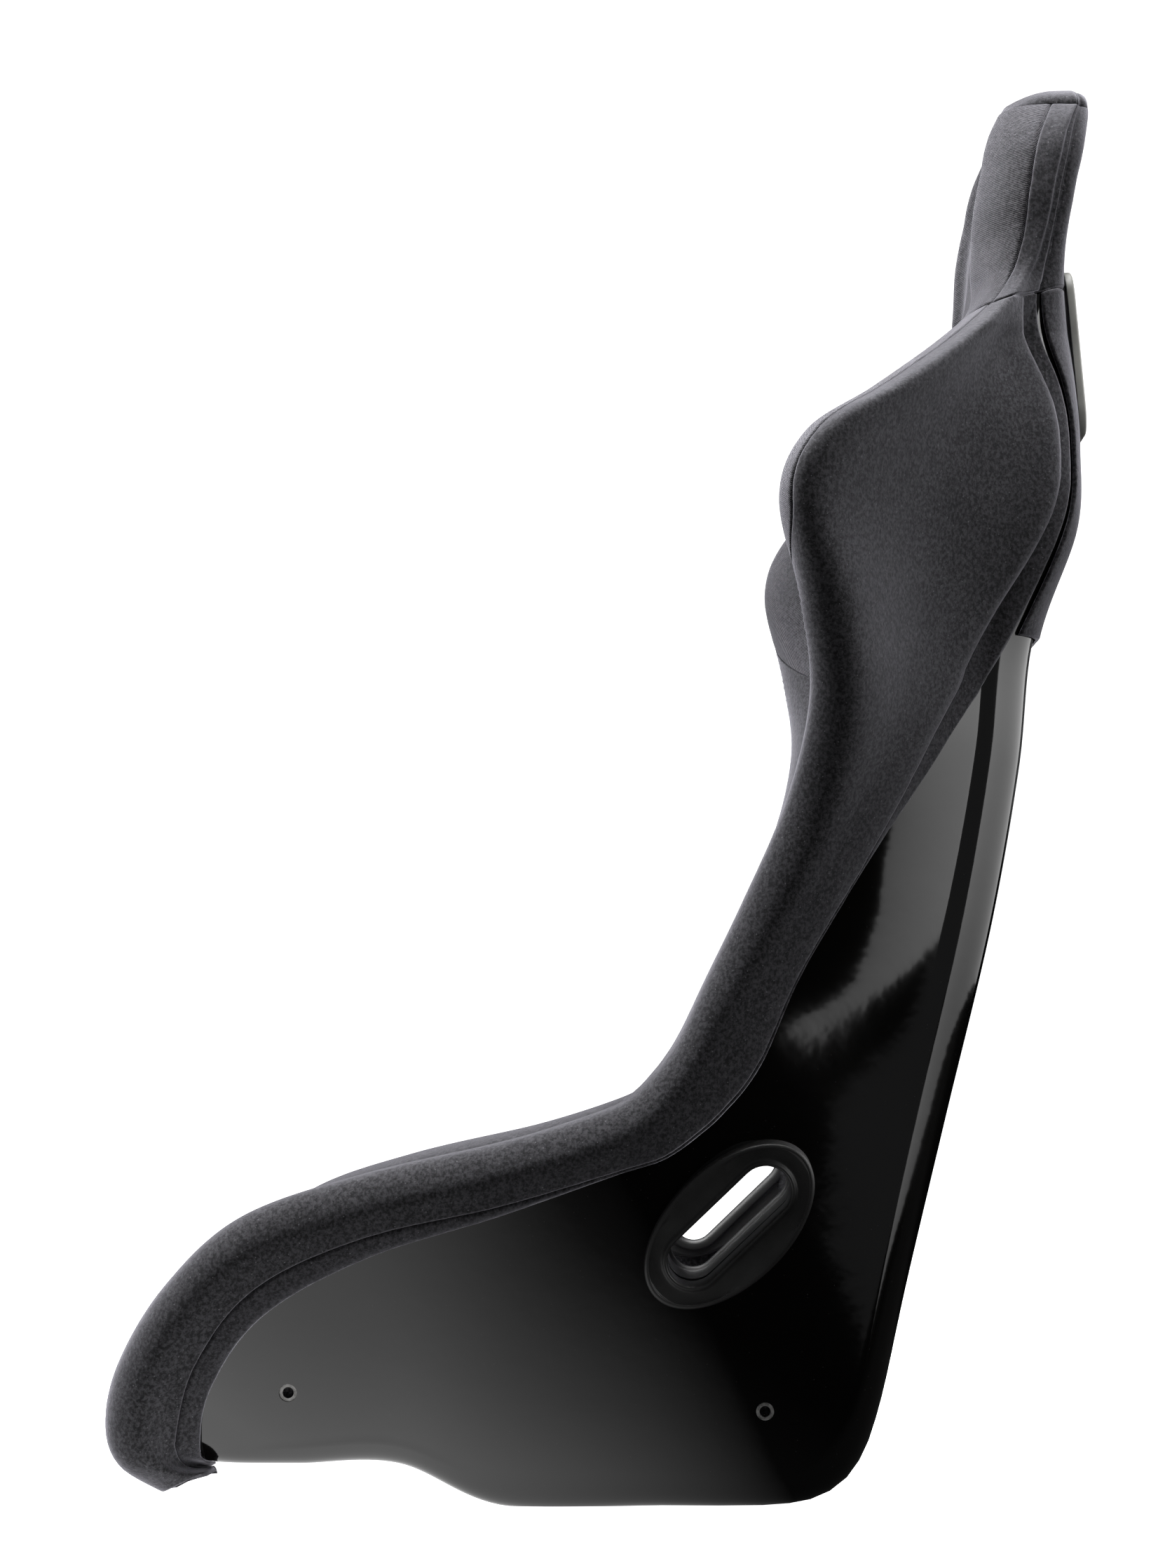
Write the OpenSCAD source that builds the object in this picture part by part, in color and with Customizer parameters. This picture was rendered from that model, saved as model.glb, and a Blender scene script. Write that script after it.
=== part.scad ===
// One-piece bucket racing seat: a glass-fibre shell with foam bolsters and fabric covers rolled over its rim.
// The seat faces -Y, +Z is up and X = 0 is its plane of symmetry. All sizes are millimetres.

/* [Shell] */
// Thickness of the moulded shell
shell_t = 5; // [4:0.5:6]
// Radius of the corner between the base or back and the side walls
corner_r = 30; // [24:1:34]
// Foam and fabric over the shell's rim, up to the top of the roll
roll_h = 16; // [14:1:20]

/* [Upholstery] */
// Thickness of a cover: fabric with its backing
cover_t = 2.5; // [2:0.5:3]
// Gap between a soft piece and its neighbour
soft_gap = 0.5; // [0.4:0.1:0.8]
// Layer of adhesive between the shell and what is bonded to it
glue_t = 1.4; // [1.2:0.1:2]
// Half the width of the lift-out seat cushion
cushion_half = 156; // [140:1:156]

/* [Side mounts] */
// Distance between the front and rear mounting holes
mount_pitch = 290; // [286:1:294]
// Wall radius of the threaded bore
mount_bore_r = 3.4; // [3:0.1:4.2]
// Outer radius of the threaded insert
insert_r = 5.4; // [5.2:0.1:7]
// Depth of the threaded bore
mount_bore_l = 18; // [14:1:18]

/* [Harness slots] */
// Length of the side slot's opening
side_slot_l = 92; // [84:1:94]
// Width of the side slot's opening
side_slot_w = 31; // [26:1:33]
// Angle of the side slot above the horizontal
side_slot_a = 44; // [42:1:46]
// Width of one shoulder belt opening
shoulder_slot_w = 54; // [50:1:56]
// Height of one shoulder belt opening
shoulder_slot_h = 88; // [80:1:90]
// Width of the crotch belt opening
crotch_slot_w = 84; // [76:1:88]
// Length of the crotch belt opening, front to rear
crotch_slot_l = 30; // [26:1:32]

/* [Hidden] */
// Guide curves, with one entry per station from the nose (0) to the top of the head section (27).
// Outer face of the shell on the plane of symmetry, [y, z]: nose, raised front, flat base, rear corner, back
// and head
profile = [
    [-246, 22], [-248, 24], [-246, 26], [-238, 26], [-222, 26], [-190, 26], [-130, 26], [-66, 0],
    [30, 0], [95, 0], [128, 5], [150, 22], [165, 58], [183, 137], [208, 240], [236, 355],
    [254, 455], [263, 535], [287, 605], [289, 655], [286, 695], [281, 735], [278, 768], [279, 795],
    [283, 825], [289, 852], [293, 876], [290, 896]];
// Top of the roll over the rim, [x, y, z]
crest = [
    [196, -272, 8], [208, -298, 26], [216, -305, 52], [224, -296, 90], [231, -268, 136], [235, -223, 177],
    [236, -150, 203], [235, -60, 224], [232, 0, 243], [230, 16, 253], [229, 26, 263], [228, 34, 273],
    [227, 43, 288], [225, 58, 320], [224, 80, 366], [232, 107, 428], [254, 121, 490], [274, 115, 545],
    [285, 103, 606], [277, 119, 646], [240, 160, 678], [190, 204, 716], [150, 238, 752], [140, 248, 782],
    [137, 252, 815], [129, 258, 848], [107, 268, 877], [72, 275, 896]];
// Half width of the base or back, out to the side wall
half_base = [
    150, 168, 182, 190, 196, 199, 200, 200, 200, 199, 198, 196, 193, 186, 176, 168,
    162, 158, 156, 154, 150, 144, 136, 130, 127, 118, 98, 66];
// Corner radius between the base or back and the side wall, as a share of corner_r
corner_share = [
    0.3, 0.3, 0.3, 0.3, 0.34, 0.4, 0.46, 0.5, 0.5, 0.52, 0.68, 0.88, 1, 1, 1, 1,
    1, 1, 1, 1, 1, 1, 1, 1, 1, 1, 1, 1];
// Outer edge of the fabric, as a fraction of the way from the profile to the crest
hem_at = [
    0.05, 0.05, 0.08, 0.21, 0.42, 0.59, 0.71, 0.795, 0.83, 0.825, 0.82, 0.81, 0.78, 0.715, 0.69, 0.58,
    0.38, 0.13, 0.12, 0.12, 0.16, 0.30, 0.30, 0.30, 0.30, 0.30, 0.30, 0.30];
// Inner shoulder of the roll, measured inwards from the crest and down from it
shoulder_in = [
    60, 56, 50, 46, 46, 46, 46, 46, 46, 46, 46, 46, 46, 46, 46, 46,
    44, 40, 38, 40, 42, 44, 46, 46, 45, 42, 36, 26];
shoulder_down = [
    -1, -1, -1, 2, 8, 11, 12, 12, 12, 12, 12, 12, 12, 12, 12, 12,
    12, 10, 8, 6, 2, -4, -13, -19, -20, -17, -11, -5];
// Edge between a bolster and the middle cushion: half width, and height over the profile
valley_x = [
    100, 120, 140, 156, 160, 160, 160, 160, 160, 160, 159, 158, 157, 154, 146, 138,
    132, 128, 126, 124, 120, 110, 78, 56, 52, 48, 40, 28];
valley_w = [
    31, 56, 68, 82, 76, 70, 66, 86, 74, 73, 72, 68, 61, 57, 55, 49,
    47, 45, 55, 53, 49, 45, 50, 46, 44, 41, 36, 22];
// Middle cushion's height over the profile, on the plane of symmetry
middle_w = [
    32, 60, 72, 84, 77, 69, 64, 84, 72, 71, 70, 66, 60, 57, 56, 50,
    46, 43, 52, 50, 46, 43, 44, 40, 38, 36, 33, 21];

LAST = len(profile) - 1;
CENTRE_Y = 7;           // moves the guide curves so that Y = 0 is the middle of the seat's length
JOIN = 0.03;            // half the gap between pieces that meet at a station
SHELL_START = 2;        // first and last station of the shell
SHELL_END = 26;
CUSHION_START = 4;    // stations of the lift-out cushion
CUSHION_END = 10.93;
BACK_START = 11;        // stations of the back cushion
BACK_END = 19;
HEAD_START = 21.6;      // first station of the head pad
THIGH_END = 8;          // where the thigh foam meets the torso foam
SEAM_START = 16;        // where the torso foam meets the shoulder foam and the wing's seam starts
REAR_COVER_START = 17;  // lowest station that the rear cover reaches
PAN_END = 11;           // where the shell's sections meet
SHELL_HIP_END = 13;
SHELL_BACK_END = 19;
SHELL_WING_END = 23;

mount_y = [-189, -189 + mount_pitch];   // front and rear mounting holes
mount_z = [70.5, 59];
mount_x = 203;
side_slot_at = [213, 79, 173];          // centre of the side slot on the shell's outer face
side_slot_lean = 8;                     // lean of the side wall there
bezel_rx = 62.5;                        // half axes of the side bezel
bezel_ry = 36.5;
shoulder_at = [86, 718];                // centre of a shoulder belt opening, [x, z]
shoulder_lean = 5.5;                    // forward lean of the back's outer face there
shoulder_rear_y = 296;                  // faces that the shoulder trims bear on
shoulder_front_y = 245;
shoulder_flange_w = 8;
shoulder_flange_t = 4;
crotch_y = -161;
crotch_base_z = 25.6;                   // faces that the crotch trims bear on
crotch_top_z = 97;
bezel_t = 5;
inner_bezel_z = -43;                    // inner trim of the side slot, from the outer face
insert_l = 20;                          // threaded insert: length, flange
insert_flange_r = 11;
insert_flange_t = 3;
plate_r = 15;                           // side plate: half height, thickness, inner face from the mount plane
plate_t = 4;
plate_z = -14;
strip_t = 1.2;                          // hook and loop strips under the cushion
strip_w = 38;
strip_l = 120;
strip_x = 75;
strip_y = -38;
STRIPS = 3.6;                           // lift of the cushion over the strips
rear_t = 4;                             // rear cover, out to its face
BAND_V = 1.15;                          // width of the band along the hem, along the roll's section

// ---- curves ----
function pick(p, i) = p[max(0, min(len(p) - 1, i))];
// Catmull-Rom curve through the entries of p, at station t
function along(p, t) =
    let (i = max(0, min(floor(t), len(p) - 2)), f = t - i,
         a = pick(p, i - 1), b = p[i], c = p[i + 1], d = pick(p, i + 2))
    0.5 * (2 * b + (c - a) * f + (2 * a - 5 * b + 4 * c - d) * f * f + (3 * b - 3 * c + d - a) * f * f * f);
function mix(a, b, f) = a + (b - a) * f;
function clamp(v, lo, hi) = max(lo, min(hi, v));

// ---- a station's plane: x sideways, w from the profile towards the crest ----
function reach(t) = let (s = along(profile, t), k = along(crest, t)) norm([k[1] - s[0], k[2] - s[1]]);
function place(t, q) =
    let (s = along(profile, t), k = along(crest, t), d = [k[1] - s[0], k[2] - s[1]] / reach(t))
    [q[0], CENTRE_Y + s[0] + d[0] * q[1], s[1] + d[1] * q[1]];

// Outer face of the shell at station t: h runs from the middle (0) over the corner (FLAT to WALL) to the
// rim (1)
FLAT = 0.35;
WALL = 0.55;
function corner(t) = min(corner_r * along(corner_share, t), 0.42 * (reach(t) - roll_h));
function skin_q(t, h) =
    let (b = along(half_base, t), r = corner(t), k = along(crest, t), rim_w = reach(t) - roll_h,
         a = 90 * (h - FLAT) / (WALL - FLAT), u = (h - WALL) / (1 - WALL),
         mid = [mix(b, k[0], 0.3), mix(r, rim_w, 0.55)])
    h <= FLAT ? [(b - r) * h / FLAT, 0]
    : h < WALL ? [b - r + r * sin(a), r - r * cos(a)]
    : (1 - u) * (1 - u) * [b, r] + 2 * u * (1 - u) * mid + u * u * [k[0] - 2, rim_w];
function skin_n(t, h) =
    let (e = 0.01, a = skin_q(t, max(0, h - e)), b = skin_q(t, min(1, h + e)), d = (b - a) / norm(b - a))
    [d[1], -d[0]];
// A point at distance off outside the shell's outer face
function skin(t, h, off) = place(t, skin_q(t, h) + off * skin_n(t, h));

// h at which the shell's outer face is the fraction f of the way up to the crest
function h_of(t, f) =
    let (w = f * reach(t), r = corner(t), rim_w = reach(t) - roll_h)
    w <= r ? FLAT + (WALL - FLAT) * acos(clamp(1 - w / r, 0, 1)) / 90
    : WALL + (1 - WALL) * clamp((w - r) / (rim_w - r), 0, 1);
// h at half width x on the flat middle
function h_flat(t, x) = FLAT * clamp(x / (along(half_base, t) - corner(t)), 0, 1.25);

// ---- the roll over the rim: fabric outside from the hem over the crest to the valley ----
function hem_h(t) = h_of(t, along(hem_at, t));
function puff(t) = t < 21 ? 11 : mix(11, 4, clamp(t - 21, 0, 1));
function roll_ctrl(t) =
    let (e = hem_h(t), k = along(crest, t), w = reach(t),
         in = along(shoulder_in, t), down = along(shoulder_down, t),
         v = [along(valley_x, t), along(valley_w, t)], s = [k[0] - in, w - down])
    [skin_q(t, e) + HEM_T * skin_n(t, e),
     skin_q(t, mix(e, 1, 0.15)) + (0.4 * puff(t) + HEM_T) * skin_n(t, mix(e, 1, 0.15)),
     skin_q(t, mix(e, 1, 0.55)) + puff(t) * skin_n(t, mix(e, 1, 0.55)),
     skin_q(t, 1) + (puff(t) + 1) * skin_n(t, 1) + [0, 2],
     [k[0] - 6, w],
     s,
     mix(s, v, 0.5) + [2, -3],
     v];
HEM_T = 3.2;        // thickness of the rolled hem
ROLL_PARTS = 7;     // spans of the roll's control points
ROLL_CREST = 3.6;   // where the surface under the roll turns over the rim
function roll_out(t, v) = place(t, along(roll_ctrl(t), v));
// The shell side of the roll: up the outer face, over the rim and down the inner face to the valley
RIM_OUT = 3;        // where the shell side passes the rim's outer and inner edges
RIM_IN = 4.2;
function roll_in(t, v) =
    let (e = hem_h(t), in = -shell_t - glue_t, end = h_flat(t, along(valley_x, t)),
         u = (v - RIM_IN) / (ROLL_PARTS - RIM_IN))
    v <= RIM_OUT ? place(t, skin_q(t, mix(e, 1, v / RIM_OUT)) + glue_t * skin_n(t, mix(e, 1, v / RIM_OUT))
        + [0, glue_t * v / RIM_OUT])
    : v < RIM_IN ? place(t, skin_q(t, 1) + mix(glue_t, in, (v - RIM_OUT) / (RIM_IN - RIM_OUT)) * skin_n(t, 1)
        + [0, glue_t])
    : place(t, skin_q(t, mix(1, end, u)) + in * skin_n(t, mix(1, end, u)) + [0, glue_t * (1 - u)]);
// A point below the visible face of the roll: depth under it, or the share most of the way through if that
// is less
function roll_under(t, v, depth, most) =
    let (a = roll_out(t, v), b = roll_in(t, v), d = norm(b - a)) mix(a, b, min(depth / d, most));

// ---- the middle: cushions between the valleys ----
function middle_out(t, x) =
    let (f = clamp(abs(x) / along(valley_x, t), 0, 1))
    place(t, [x, mix(along(middle_w, t), along(valley_w, t), f * f)]);
// Rise of the shell's inner face over its flat middle, in the corner
function rise(t, x) =
    let (r = corner(t), over = clamp(abs(x) - along(half_base, t) + r, 0, r - shell_t), in = r - shell_t)
    over <= 0 ? 0 : in - sqrt(in * in - over * over);
function middle_in(t, x, lift) = place(t, [x, shell_t + soft_gap + lift + rise(t, x)]);

// ---- solids ----
// A closed sheet between two grids of points; outer is on the left when going up the rows along the columns.
// A sheet that is its own mirror image is a twin: both halves are then split into the same triangles.
module sheet_solid(outer, inner, twin = false) {
    rows = len(outer);
    cols = len(outer[0]);
    n = rows * cols;
    pts = [for (g = [outer, inner]) for (row = g) for (p = row) p];
    function quad(a, b, c, d) = [[a, b, c], [a, c, d]];
    function side(j, a, b, c, d) = twin && j < (cols - 1) / 2 ? quad(b, c, d, a) : quad(a, b, c, d);
    faces = [
        for (i = [0:rows - 2]) for (j = [0:cols - 2])
            let (a = i * cols + j) each side(j, a, a + 1, a + cols + 1, a + cols),
        for (i = [0:rows - 2]) for (j = [0:cols - 2])
            let (a = n + i * cols + j) each side(j, a, a + cols, a + cols + 1, a + 1),
        for (j = [0:cols - 2]) let (b = (rows - 1) * cols)
            each concat(quad(j, n + j, n + j + 1, j + 1), quad(b + j, b + j + 1, n + b + j + 1, n + b + j)),
        for (i = [0:rows - 2]) let (a = i * cols, b = a + cols - 1)
            each concat(quad(a, a + cols, n + a + cols, n + a), quad(b, n + b, n + b + cols, b + cols))];
    polyhedron(pts, faces);
}
function steps(a, b, n) = [for (i = [0:n]) mix(a, b, i / n)];
// Stations of a piece: its two ends and every whole station between them
function rows(a, b) = concat([a], [for (t = [floor(a) + 1:ceil(b) - 1]) t], [b]);
module both(side) { if (side > 0) children(); else mirror([1, 0, 0]) children(); }
module stadium(l, w) {
    square([l - w, w], center = true);
    for (s = [-1, 1]) translate([s * (l - w) / 2, 0]) circle(d = w, $fn = 48);
}
module rounded(l, w, r) {
    square([l - 2 * r, w], center = true);
    square([l, w - 2 * r], center = true);
    for (sx = [-1, 1]) for (sy = [-1, 1])
        translate([sx * (l / 2 - r), sy * (w / 2 - r)]) circle(r = r, $fn = 32);
}
// Frame of the side slot: local Z along the wall's outward normal, local X along the slot
module at_side_slot() {
    translate(side_slot_at) rotate([0, side_slot_lean, 0]) rotate([0, 90, 0]) rotate([0, 0, 90 + side_slot_a])
        children();
}
module side_slot_cut(grow) {
    at_side_slot() translate([0, 0, -60]) linear_extrude(90) stadium(side_slot_l + grow, side_slot_w + grow);
}
module shoulder_cut(grow) {
    for (s = [-1, 1]) translate([s * shoulder_at[0], 350, shoulder_at[1]]) rotate([90, 0, 0])
        linear_extrude(160) rounded(shoulder_slot_w + grow, shoulder_slot_h + grow, 12);
}
// Clear space for the shoulder belt trims
module shoulder_pocket() {
    w = shoulder_slot_w + 2 * shoulder_flange_w + 3;
    h = shoulder_slot_h + 2 * shoulder_flange_w + 4;
    shoulder_cut(8);
    for (s = [-1, 1]) {
        translate([s * shoulder_at[0], shoulder_front_y + 0.5, shoulder_at[1]]) rotate([90, 0, 0])
            linear_extrude(60) rounded(w, h, 18);
        translate([s * shoulder_at[0], shoulder_rear_y - 0.5, shoulder_at[1]])
            rotate([90 + shoulder_lean, 0, 0]) translate([0, 0, -40]) linear_extrude(40) rounded(w, h, 18);
    }
}
module crotch_cut(grow) {
    translate([0, crotch_y, -20]) linear_extrude(160) rounded(crotch_slot_w + grow, crotch_slot_l + grow, 10);
}

// ---- shell ----
function flip(p, sign) = sign < 0 ? [-p[0], p[1], p[2]] : p;
shell_middle = [0.18, 0.35, 0.4, 0.45, 0.5, 0.55];          // columns of the flat middle and its corner
shell_side = [0.55, 0.625, 0.7, 0.775, 0.85, 0.925, 1];      // columns of the side wall
function mirrored(list) = concat([for (i = [len(list) - 1:-1:0]) -list[i]], [0], list);
// Part of the moulding between two stations, over the columns hs, thicker by grow on both faces
module shell_sheet(a, b, hs, grow) {
    sheet_solid([for (t = [a:b]) [for (h = hs) flip(skin(t, abs(h), grow), h)]],
        [for (t = [a:b]) [for (h = hs) flip(skin(t, abs(h), -shell_t - grow), h)]], hs[0] < 0);
}
// The whole bare moulding
module shell_body(grow) {
    shell_sheet(SHELL_START, SHELL_END, mirrored(concat(shell_middle, rest(shell_side))), grow);
}
module shell_middle_part(a, b) color("black") difference() {
    shell_sheet(a, b, mirrored(shell_middle), 0);
    shoulder_cut(5);
    crotch_cut(3);
}
module shell_side_part(a, b) color("black") difference() {
    shell_sheet(a, b, shell_side, 0);
    side_slot_cut(3);
    for (i = [0, 1]) at_mount(i) translate([0, 0, -30]) cylinder(r = insert_r + 0.1, h = 60, $fn = 48);
}
// One moulding, in sections that meet face to face
module shell_pan() shell_middle_part(SHELL_START, PAN_END);
module shell_back() shell_middle_part(PAN_END, SHELL_BACK_END);
module shell_upper_back() shell_middle_part(SHELL_BACK_END, SHELL_WING_END);
module shell_head() shell_middle_part(SHELL_WING_END, SHELL_END);
module shell_thigh_side() shell_side_part(SHELL_START, THIGH_END);
module shell_hip_side() shell_side_part(THIGH_END, SHELL_HIP_END);
module shell_torso_side() shell_side_part(SHELL_HIP_END, REAR_COVER_START);
module shell_wing_side() shell_side_part(REAR_COVER_START, SHELL_WING_END);
module shell_head_side() shell_side_part(SHELL_WING_END, SHELL_END);

// ---- side mounts: threaded inserts on a steel plate inside each side wall ----
module at_mount(i) { translate([mount_x, mount_y[i], mount_z[i]]) rotate([0, 90, 0]) children(); }
module side_inserts() color("silver") for (i = [0, 1]) at_mount(i) difference() {
    union() {
        translate([0, 0, -insert_l]) cylinder(r = insert_r, h = insert_l, $fn = 48);
        translate([0, 0, -insert_l]) cylinder(r = insert_flange_r, h = insert_flange_t, $fn = 48);
    }
    translate([0, 0, -mount_bore_l]) cylinder(r = mount_bore_r, h = mount_bore_l + 1, $fn = 48);
}
module side_plate() color("dimgray") difference() {
    hull() for (i = [0, 1]) at_mount(i)
        translate([0, 0, plate_z]) cylinder(r = plate_r, h = plate_t, $fn = 32);
    for (i = [0, 1]) at_mount(i) translate([0, 0, -30]) cylinder(r = insert_r + 0.1, h = 60, $fn = 48);
}
module mount_pocket() {
    hull() for (i = [0, 1]) at_mount(i) translate([0, 0, plate_z - insert_flange_t - 1])
        cylinder(r = plate_r + 1, h = 18, $fn = 32);
    for (i = [0, 1]) at_mount(i)
        translate([0, 0, -insert_l - 1]) cylinder(r = insert_flange_r + 1, h = 18, $fn = 32);
}

// ---- foam ----
// Columns of the roll at station t: the band, the side cover up to the seam, and the wing's inner cover
function band_cols(t) = steps(0, BAND_V, 2);
function side_cols(t) = steps(BAND_V, seam_v(t), 9);
function inner_cols(t) = steps(seam_v(t), ROLL_PARTS, 5);
function rest(list) = [for (i = [1:len(list) - 1]) list[i]];
// Foam of one roll between two stations
module roll_foam(a, b) {
    cols = [for (t = rows(a, b))
        concat(band_cols(t), rest(side_cols(t)), a < SEAM_START ? [] : rest(inner_cols(t)))];
    ts = rows(a, b);
    difference() {
        sheet_solid([for (i = [0:len(ts) - 1])
                [for (v = cols[i]) roll_under(ts[i], v, cover_t + 2 * soft_gap, 0.75)]],
            [for (i = [0:len(ts) - 1]) [for (v = cols[i]) roll_in(ts[i], v)]]);
        shell_body(0.3);
        side_slot_pocket();
        mount_pocket();
        shoulder_pocket();
    }
}
module thigh_foam() color("gainsboro") roll_foam(0, THIGH_END - JOIN);
// The hip foam is in two, above and below the long axis of the side slot
module hip_half(s) color("gainsboro") intersection() {
    roll_foam(THIGH_END + JOIN, SHELL_HIP_END - JOIN);
    at_side_slot() translate([-300, s > 0 ? 0.1 : -300.1, -300]) cube([600, 300, 600]);
}
module hip_upper_foam() hip_half(1);
module hip_lower_foam() hip_half(-1);
module torso_foam() color("gainsboro") roll_foam(SHELL_HIP_END + JOIN, SEAM_START - JOIN);
module shoulder_foam() color("gainsboro") roll_foam(SEAM_START + JOIN, HEAD_START - JOIN);

// Foam between the valleys, from station a to b; the cover takes the top of it
module middle_foam(a, b) {
    ts = rows(a, b);
    sheet_solid([for (t = ts) let (x = along(valley_x, t) - 3 * soft_gap) [for (f = steps(1, -1, 8))
            let (p = middle_out(t, f * x), q = middle_in(t, f * x, 0))
            mix(p, q, (cover_t + soft_gap) / norm(q - p))]],
        [for (t = ts) let (x = along(valley_x, t) - 3 * soft_gap)
            [for (f = steps(1, -1, 8)) middle_in(t, f * x, 0)]]);
}
// Cover between the valleys
module middle_cover(a, b) {
    ts = rows(a, b);
    sheet_solid([for (t = ts) let (x = along(valley_x, t) - soft_gap)
            [for (f = steps(1, -1, 8)) middle_out(t, f * x)]],
        [for (t = ts) let (x = along(valley_x, t) - soft_gap) [for (f = steps(1, -1, 8))
            let (p = middle_out(t, f * x), q = middle_in(t, f * x, 0)) mix(p, q, cover_t / norm(q - p))]]);
}
module nose_foam() color("gainsboro") middle_foam(0, CUSHION_START - JOIN);
module nose_cover() color("#2e2e32") middle_cover(0, CUSHION_START - JOIN);
module back_foam() color("gainsboro") middle_foam(BACK_START, BACK_END - JOIN);
module upper_back_foam() color("gainsboro") difference() {
    middle_foam(BACK_END + JOIN, HEAD_START - JOIN);
    shoulder_pocket();
}
module back_cover() color("#2e2e32") difference() {
    middle_cover(BACK_START, HEAD_START - JOIN);
    shoulder_pocket();
}

// ---- lift-out seat cushion: foam in a cover whose skirt reaches down its sides ----
cushion_ts = rows(CUSHION_START + JOIN, CUSHION_END);
module cushion_foam() color("gainsboro") difference() {
    x = cushion_half - cover_t - soft_gap;
    sheet_solid([for (t = cushion_ts) [for (f = steps(1, -1, 8))
            let (p = middle_out(t, f * x), q = middle_in(t, f * x, STRIPS))
            mix(p, q, (cover_t + soft_gap) / norm(q - p))]],
        [for (t = cushion_ts) [for (f = steps(1, -1, 8)) middle_in(t, f * x, STRIPS)]]);
    crotch_cut(3);
}
module cushion_cover() color("#2e2e32") difference() {
    y = cushion_half;
    z = cushion_half - cover_t;
    sheet_solid([for (t = cushion_ts) concat([middle_in(t, y, STRIPS + 1)],
            [for (f = steps(1, -1, 8)) middle_out(t, f * y)], [middle_in(t, -y, STRIPS + 1)])],
        [for (t = cushion_ts) concat([middle_in(t, z, STRIPS + 1)],
            [for (f = steps(1, -1, 8)) let (p = middle_out(t, f * z), q = middle_in(t, f * z, 0))
                mix(p, q, cover_t / norm(q - p))],
            [middle_in(t, -z, STRIPS + 1)])]);
    crotch_cut(3);
}
module strips(bottom) {
    for (s = [-1, 1])
        translate([s * strip_x - strip_w / 2, strip_y, bottom]) cube([strip_w, strip_l, strip_t]);
}
module pan_hook_strips() color("black") strips(shell_t + 0.1);
module cushion_loop_strips() color("dimgray") strips(shell_t + 0.1 + strip_t + soft_gap);

// ---- covers on the rolls ----
// Where the seam along the roll lies: at the valley up to the waist, then over the crest of the wing
function seam_v(t) = t < SEAM_START ? ROLL_PARTS
    : mix(ROLL_PARTS - 0.4, ROLL_CREST, clamp((t - SEAM_START) / 1.8, 0, 1));
// Cover over the columns of the roll; ease keeps its edges off its neighbours
module roll_cover(ts, cols) {
    sheet_solid([for (i = [0:len(ts) - 1]) [for (v = cols[i]) roll_out(ts[i], v)]],
        [for (i = [0:len(ts) - 1]) [for (v = cols[i]) roll_under(ts[i], v, cover_t, 0.5)]]);
}
function ease(list, first, last) = [for (i = [0:len(list) - 1])
    i == 0 ? list[0] + first : i == len(list) - 1 ? list[i] - last : list[i]];
wing_ts = rows(SEAM_START + JOIN, HEAD_START - JOIN);
cover_ts = concat(rows(0, SEAM_START - JOIN), wing_ts);
module side_cover() color("#2b2b30") difference() {
    roll_cover(cover_ts, [for (t = cover_ts) ease(side_cols(t), 0.04, 0.03)]);
    side_slot_pocket();
    shoulder_pocket();
}
module rim_band() color("#26262a") roll_cover(cover_ts, [for (t = cover_ts) ease(band_cols(t), 0, 0)]);
module wing_inner_cover() color("#303036") difference() {
    roll_cover(wing_ts, [for (t = wing_ts) ease(inner_cols(t), 0.03, 0)]);
    shoulder_pocket();
}

// Cover across the back, between the hems of the two rolls: columns up to 1 lie on the flat, up to 2 round
// the corner
rear_cols = [-2, -1.75, -1.5, -1.25, -1, -0.5, 0, 0.5, 1, 1.25, 1.5, 1.75, 2];
function rear_h(c, e) = let (a = abs(c)) a <= 1 ? FLAT * a : mix(FLAT, e, a - 1);
module rear_cover() color("#26262a") difference() {
    ts = rows(REAR_COVER_START, HEAD_START - JOIN);
    sheet_solid([for (t = ts) let (e = hem_h(t) - 0.02)
            [for (h = rear_cols) flip(skin(t, rear_h(h, e), rear_t), h)]],
        [for (t = ts) let (e = hem_h(t) - 0.02)
            [for (h = rear_cols) flip(skin(t, rear_h(h, e), glue_t), h)]]);
    shoulder_pocket();
}

// ---- head section ----
// Front face of the head section from crest to crest: f from -1 to 1
function head_front(t, f, depth) =
    let (a = abs(f), v = mix(ROLL_PARTS, ROLL_CREST, clamp((a - 0.4) / 0.6, 0, 1)),
         p = a < 0.4 ? middle_out(t, a / 0.4 * along(valley_x, t)) : roll_out(t, v),
         q = a < 0.4 ? middle_in(t, a / 0.4 * along(valley_x, t), 0) : roll_in(t, v))
    flip(mix(p, q, min(depth / norm(q - p), 0.8)), f);
function head_back(t, f) =
    let (a = abs(f)) flip(a < 0.4 ? middle_in(t, a / 0.4 * along(valley_x, t), 0)
        : roll_in(t, mix(ROLL_PARTS, ROLL_CREST, clamp((a - 0.4) / 0.6, 0, 1))), f);
head_fs = steps(-1, 1, 16);
head_ts = rows(HEAD_START, SHELL_END - JOIN);
module head_foam() color("gainsboro") difference() {
    sheet_solid([for (t = head_ts) [for (f = head_fs) head_front(t, -f, cover_t + soft_gap)]],
        [for (t = head_ts) [for (f = head_fs) head_back(t, -f)]]);
    shell_body(0.3);
    shoulder_pocket();
}
module head_front_cover() color("#34343a") difference() {
    sheet_solid([for (t = head_ts) [for (f = head_fs) head_front(t, -f, 0)]],
        [for (t = head_ts) [for (f = head_fs) head_front(t, -f, cover_t)]]);
    shoulder_pocket();
}
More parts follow.
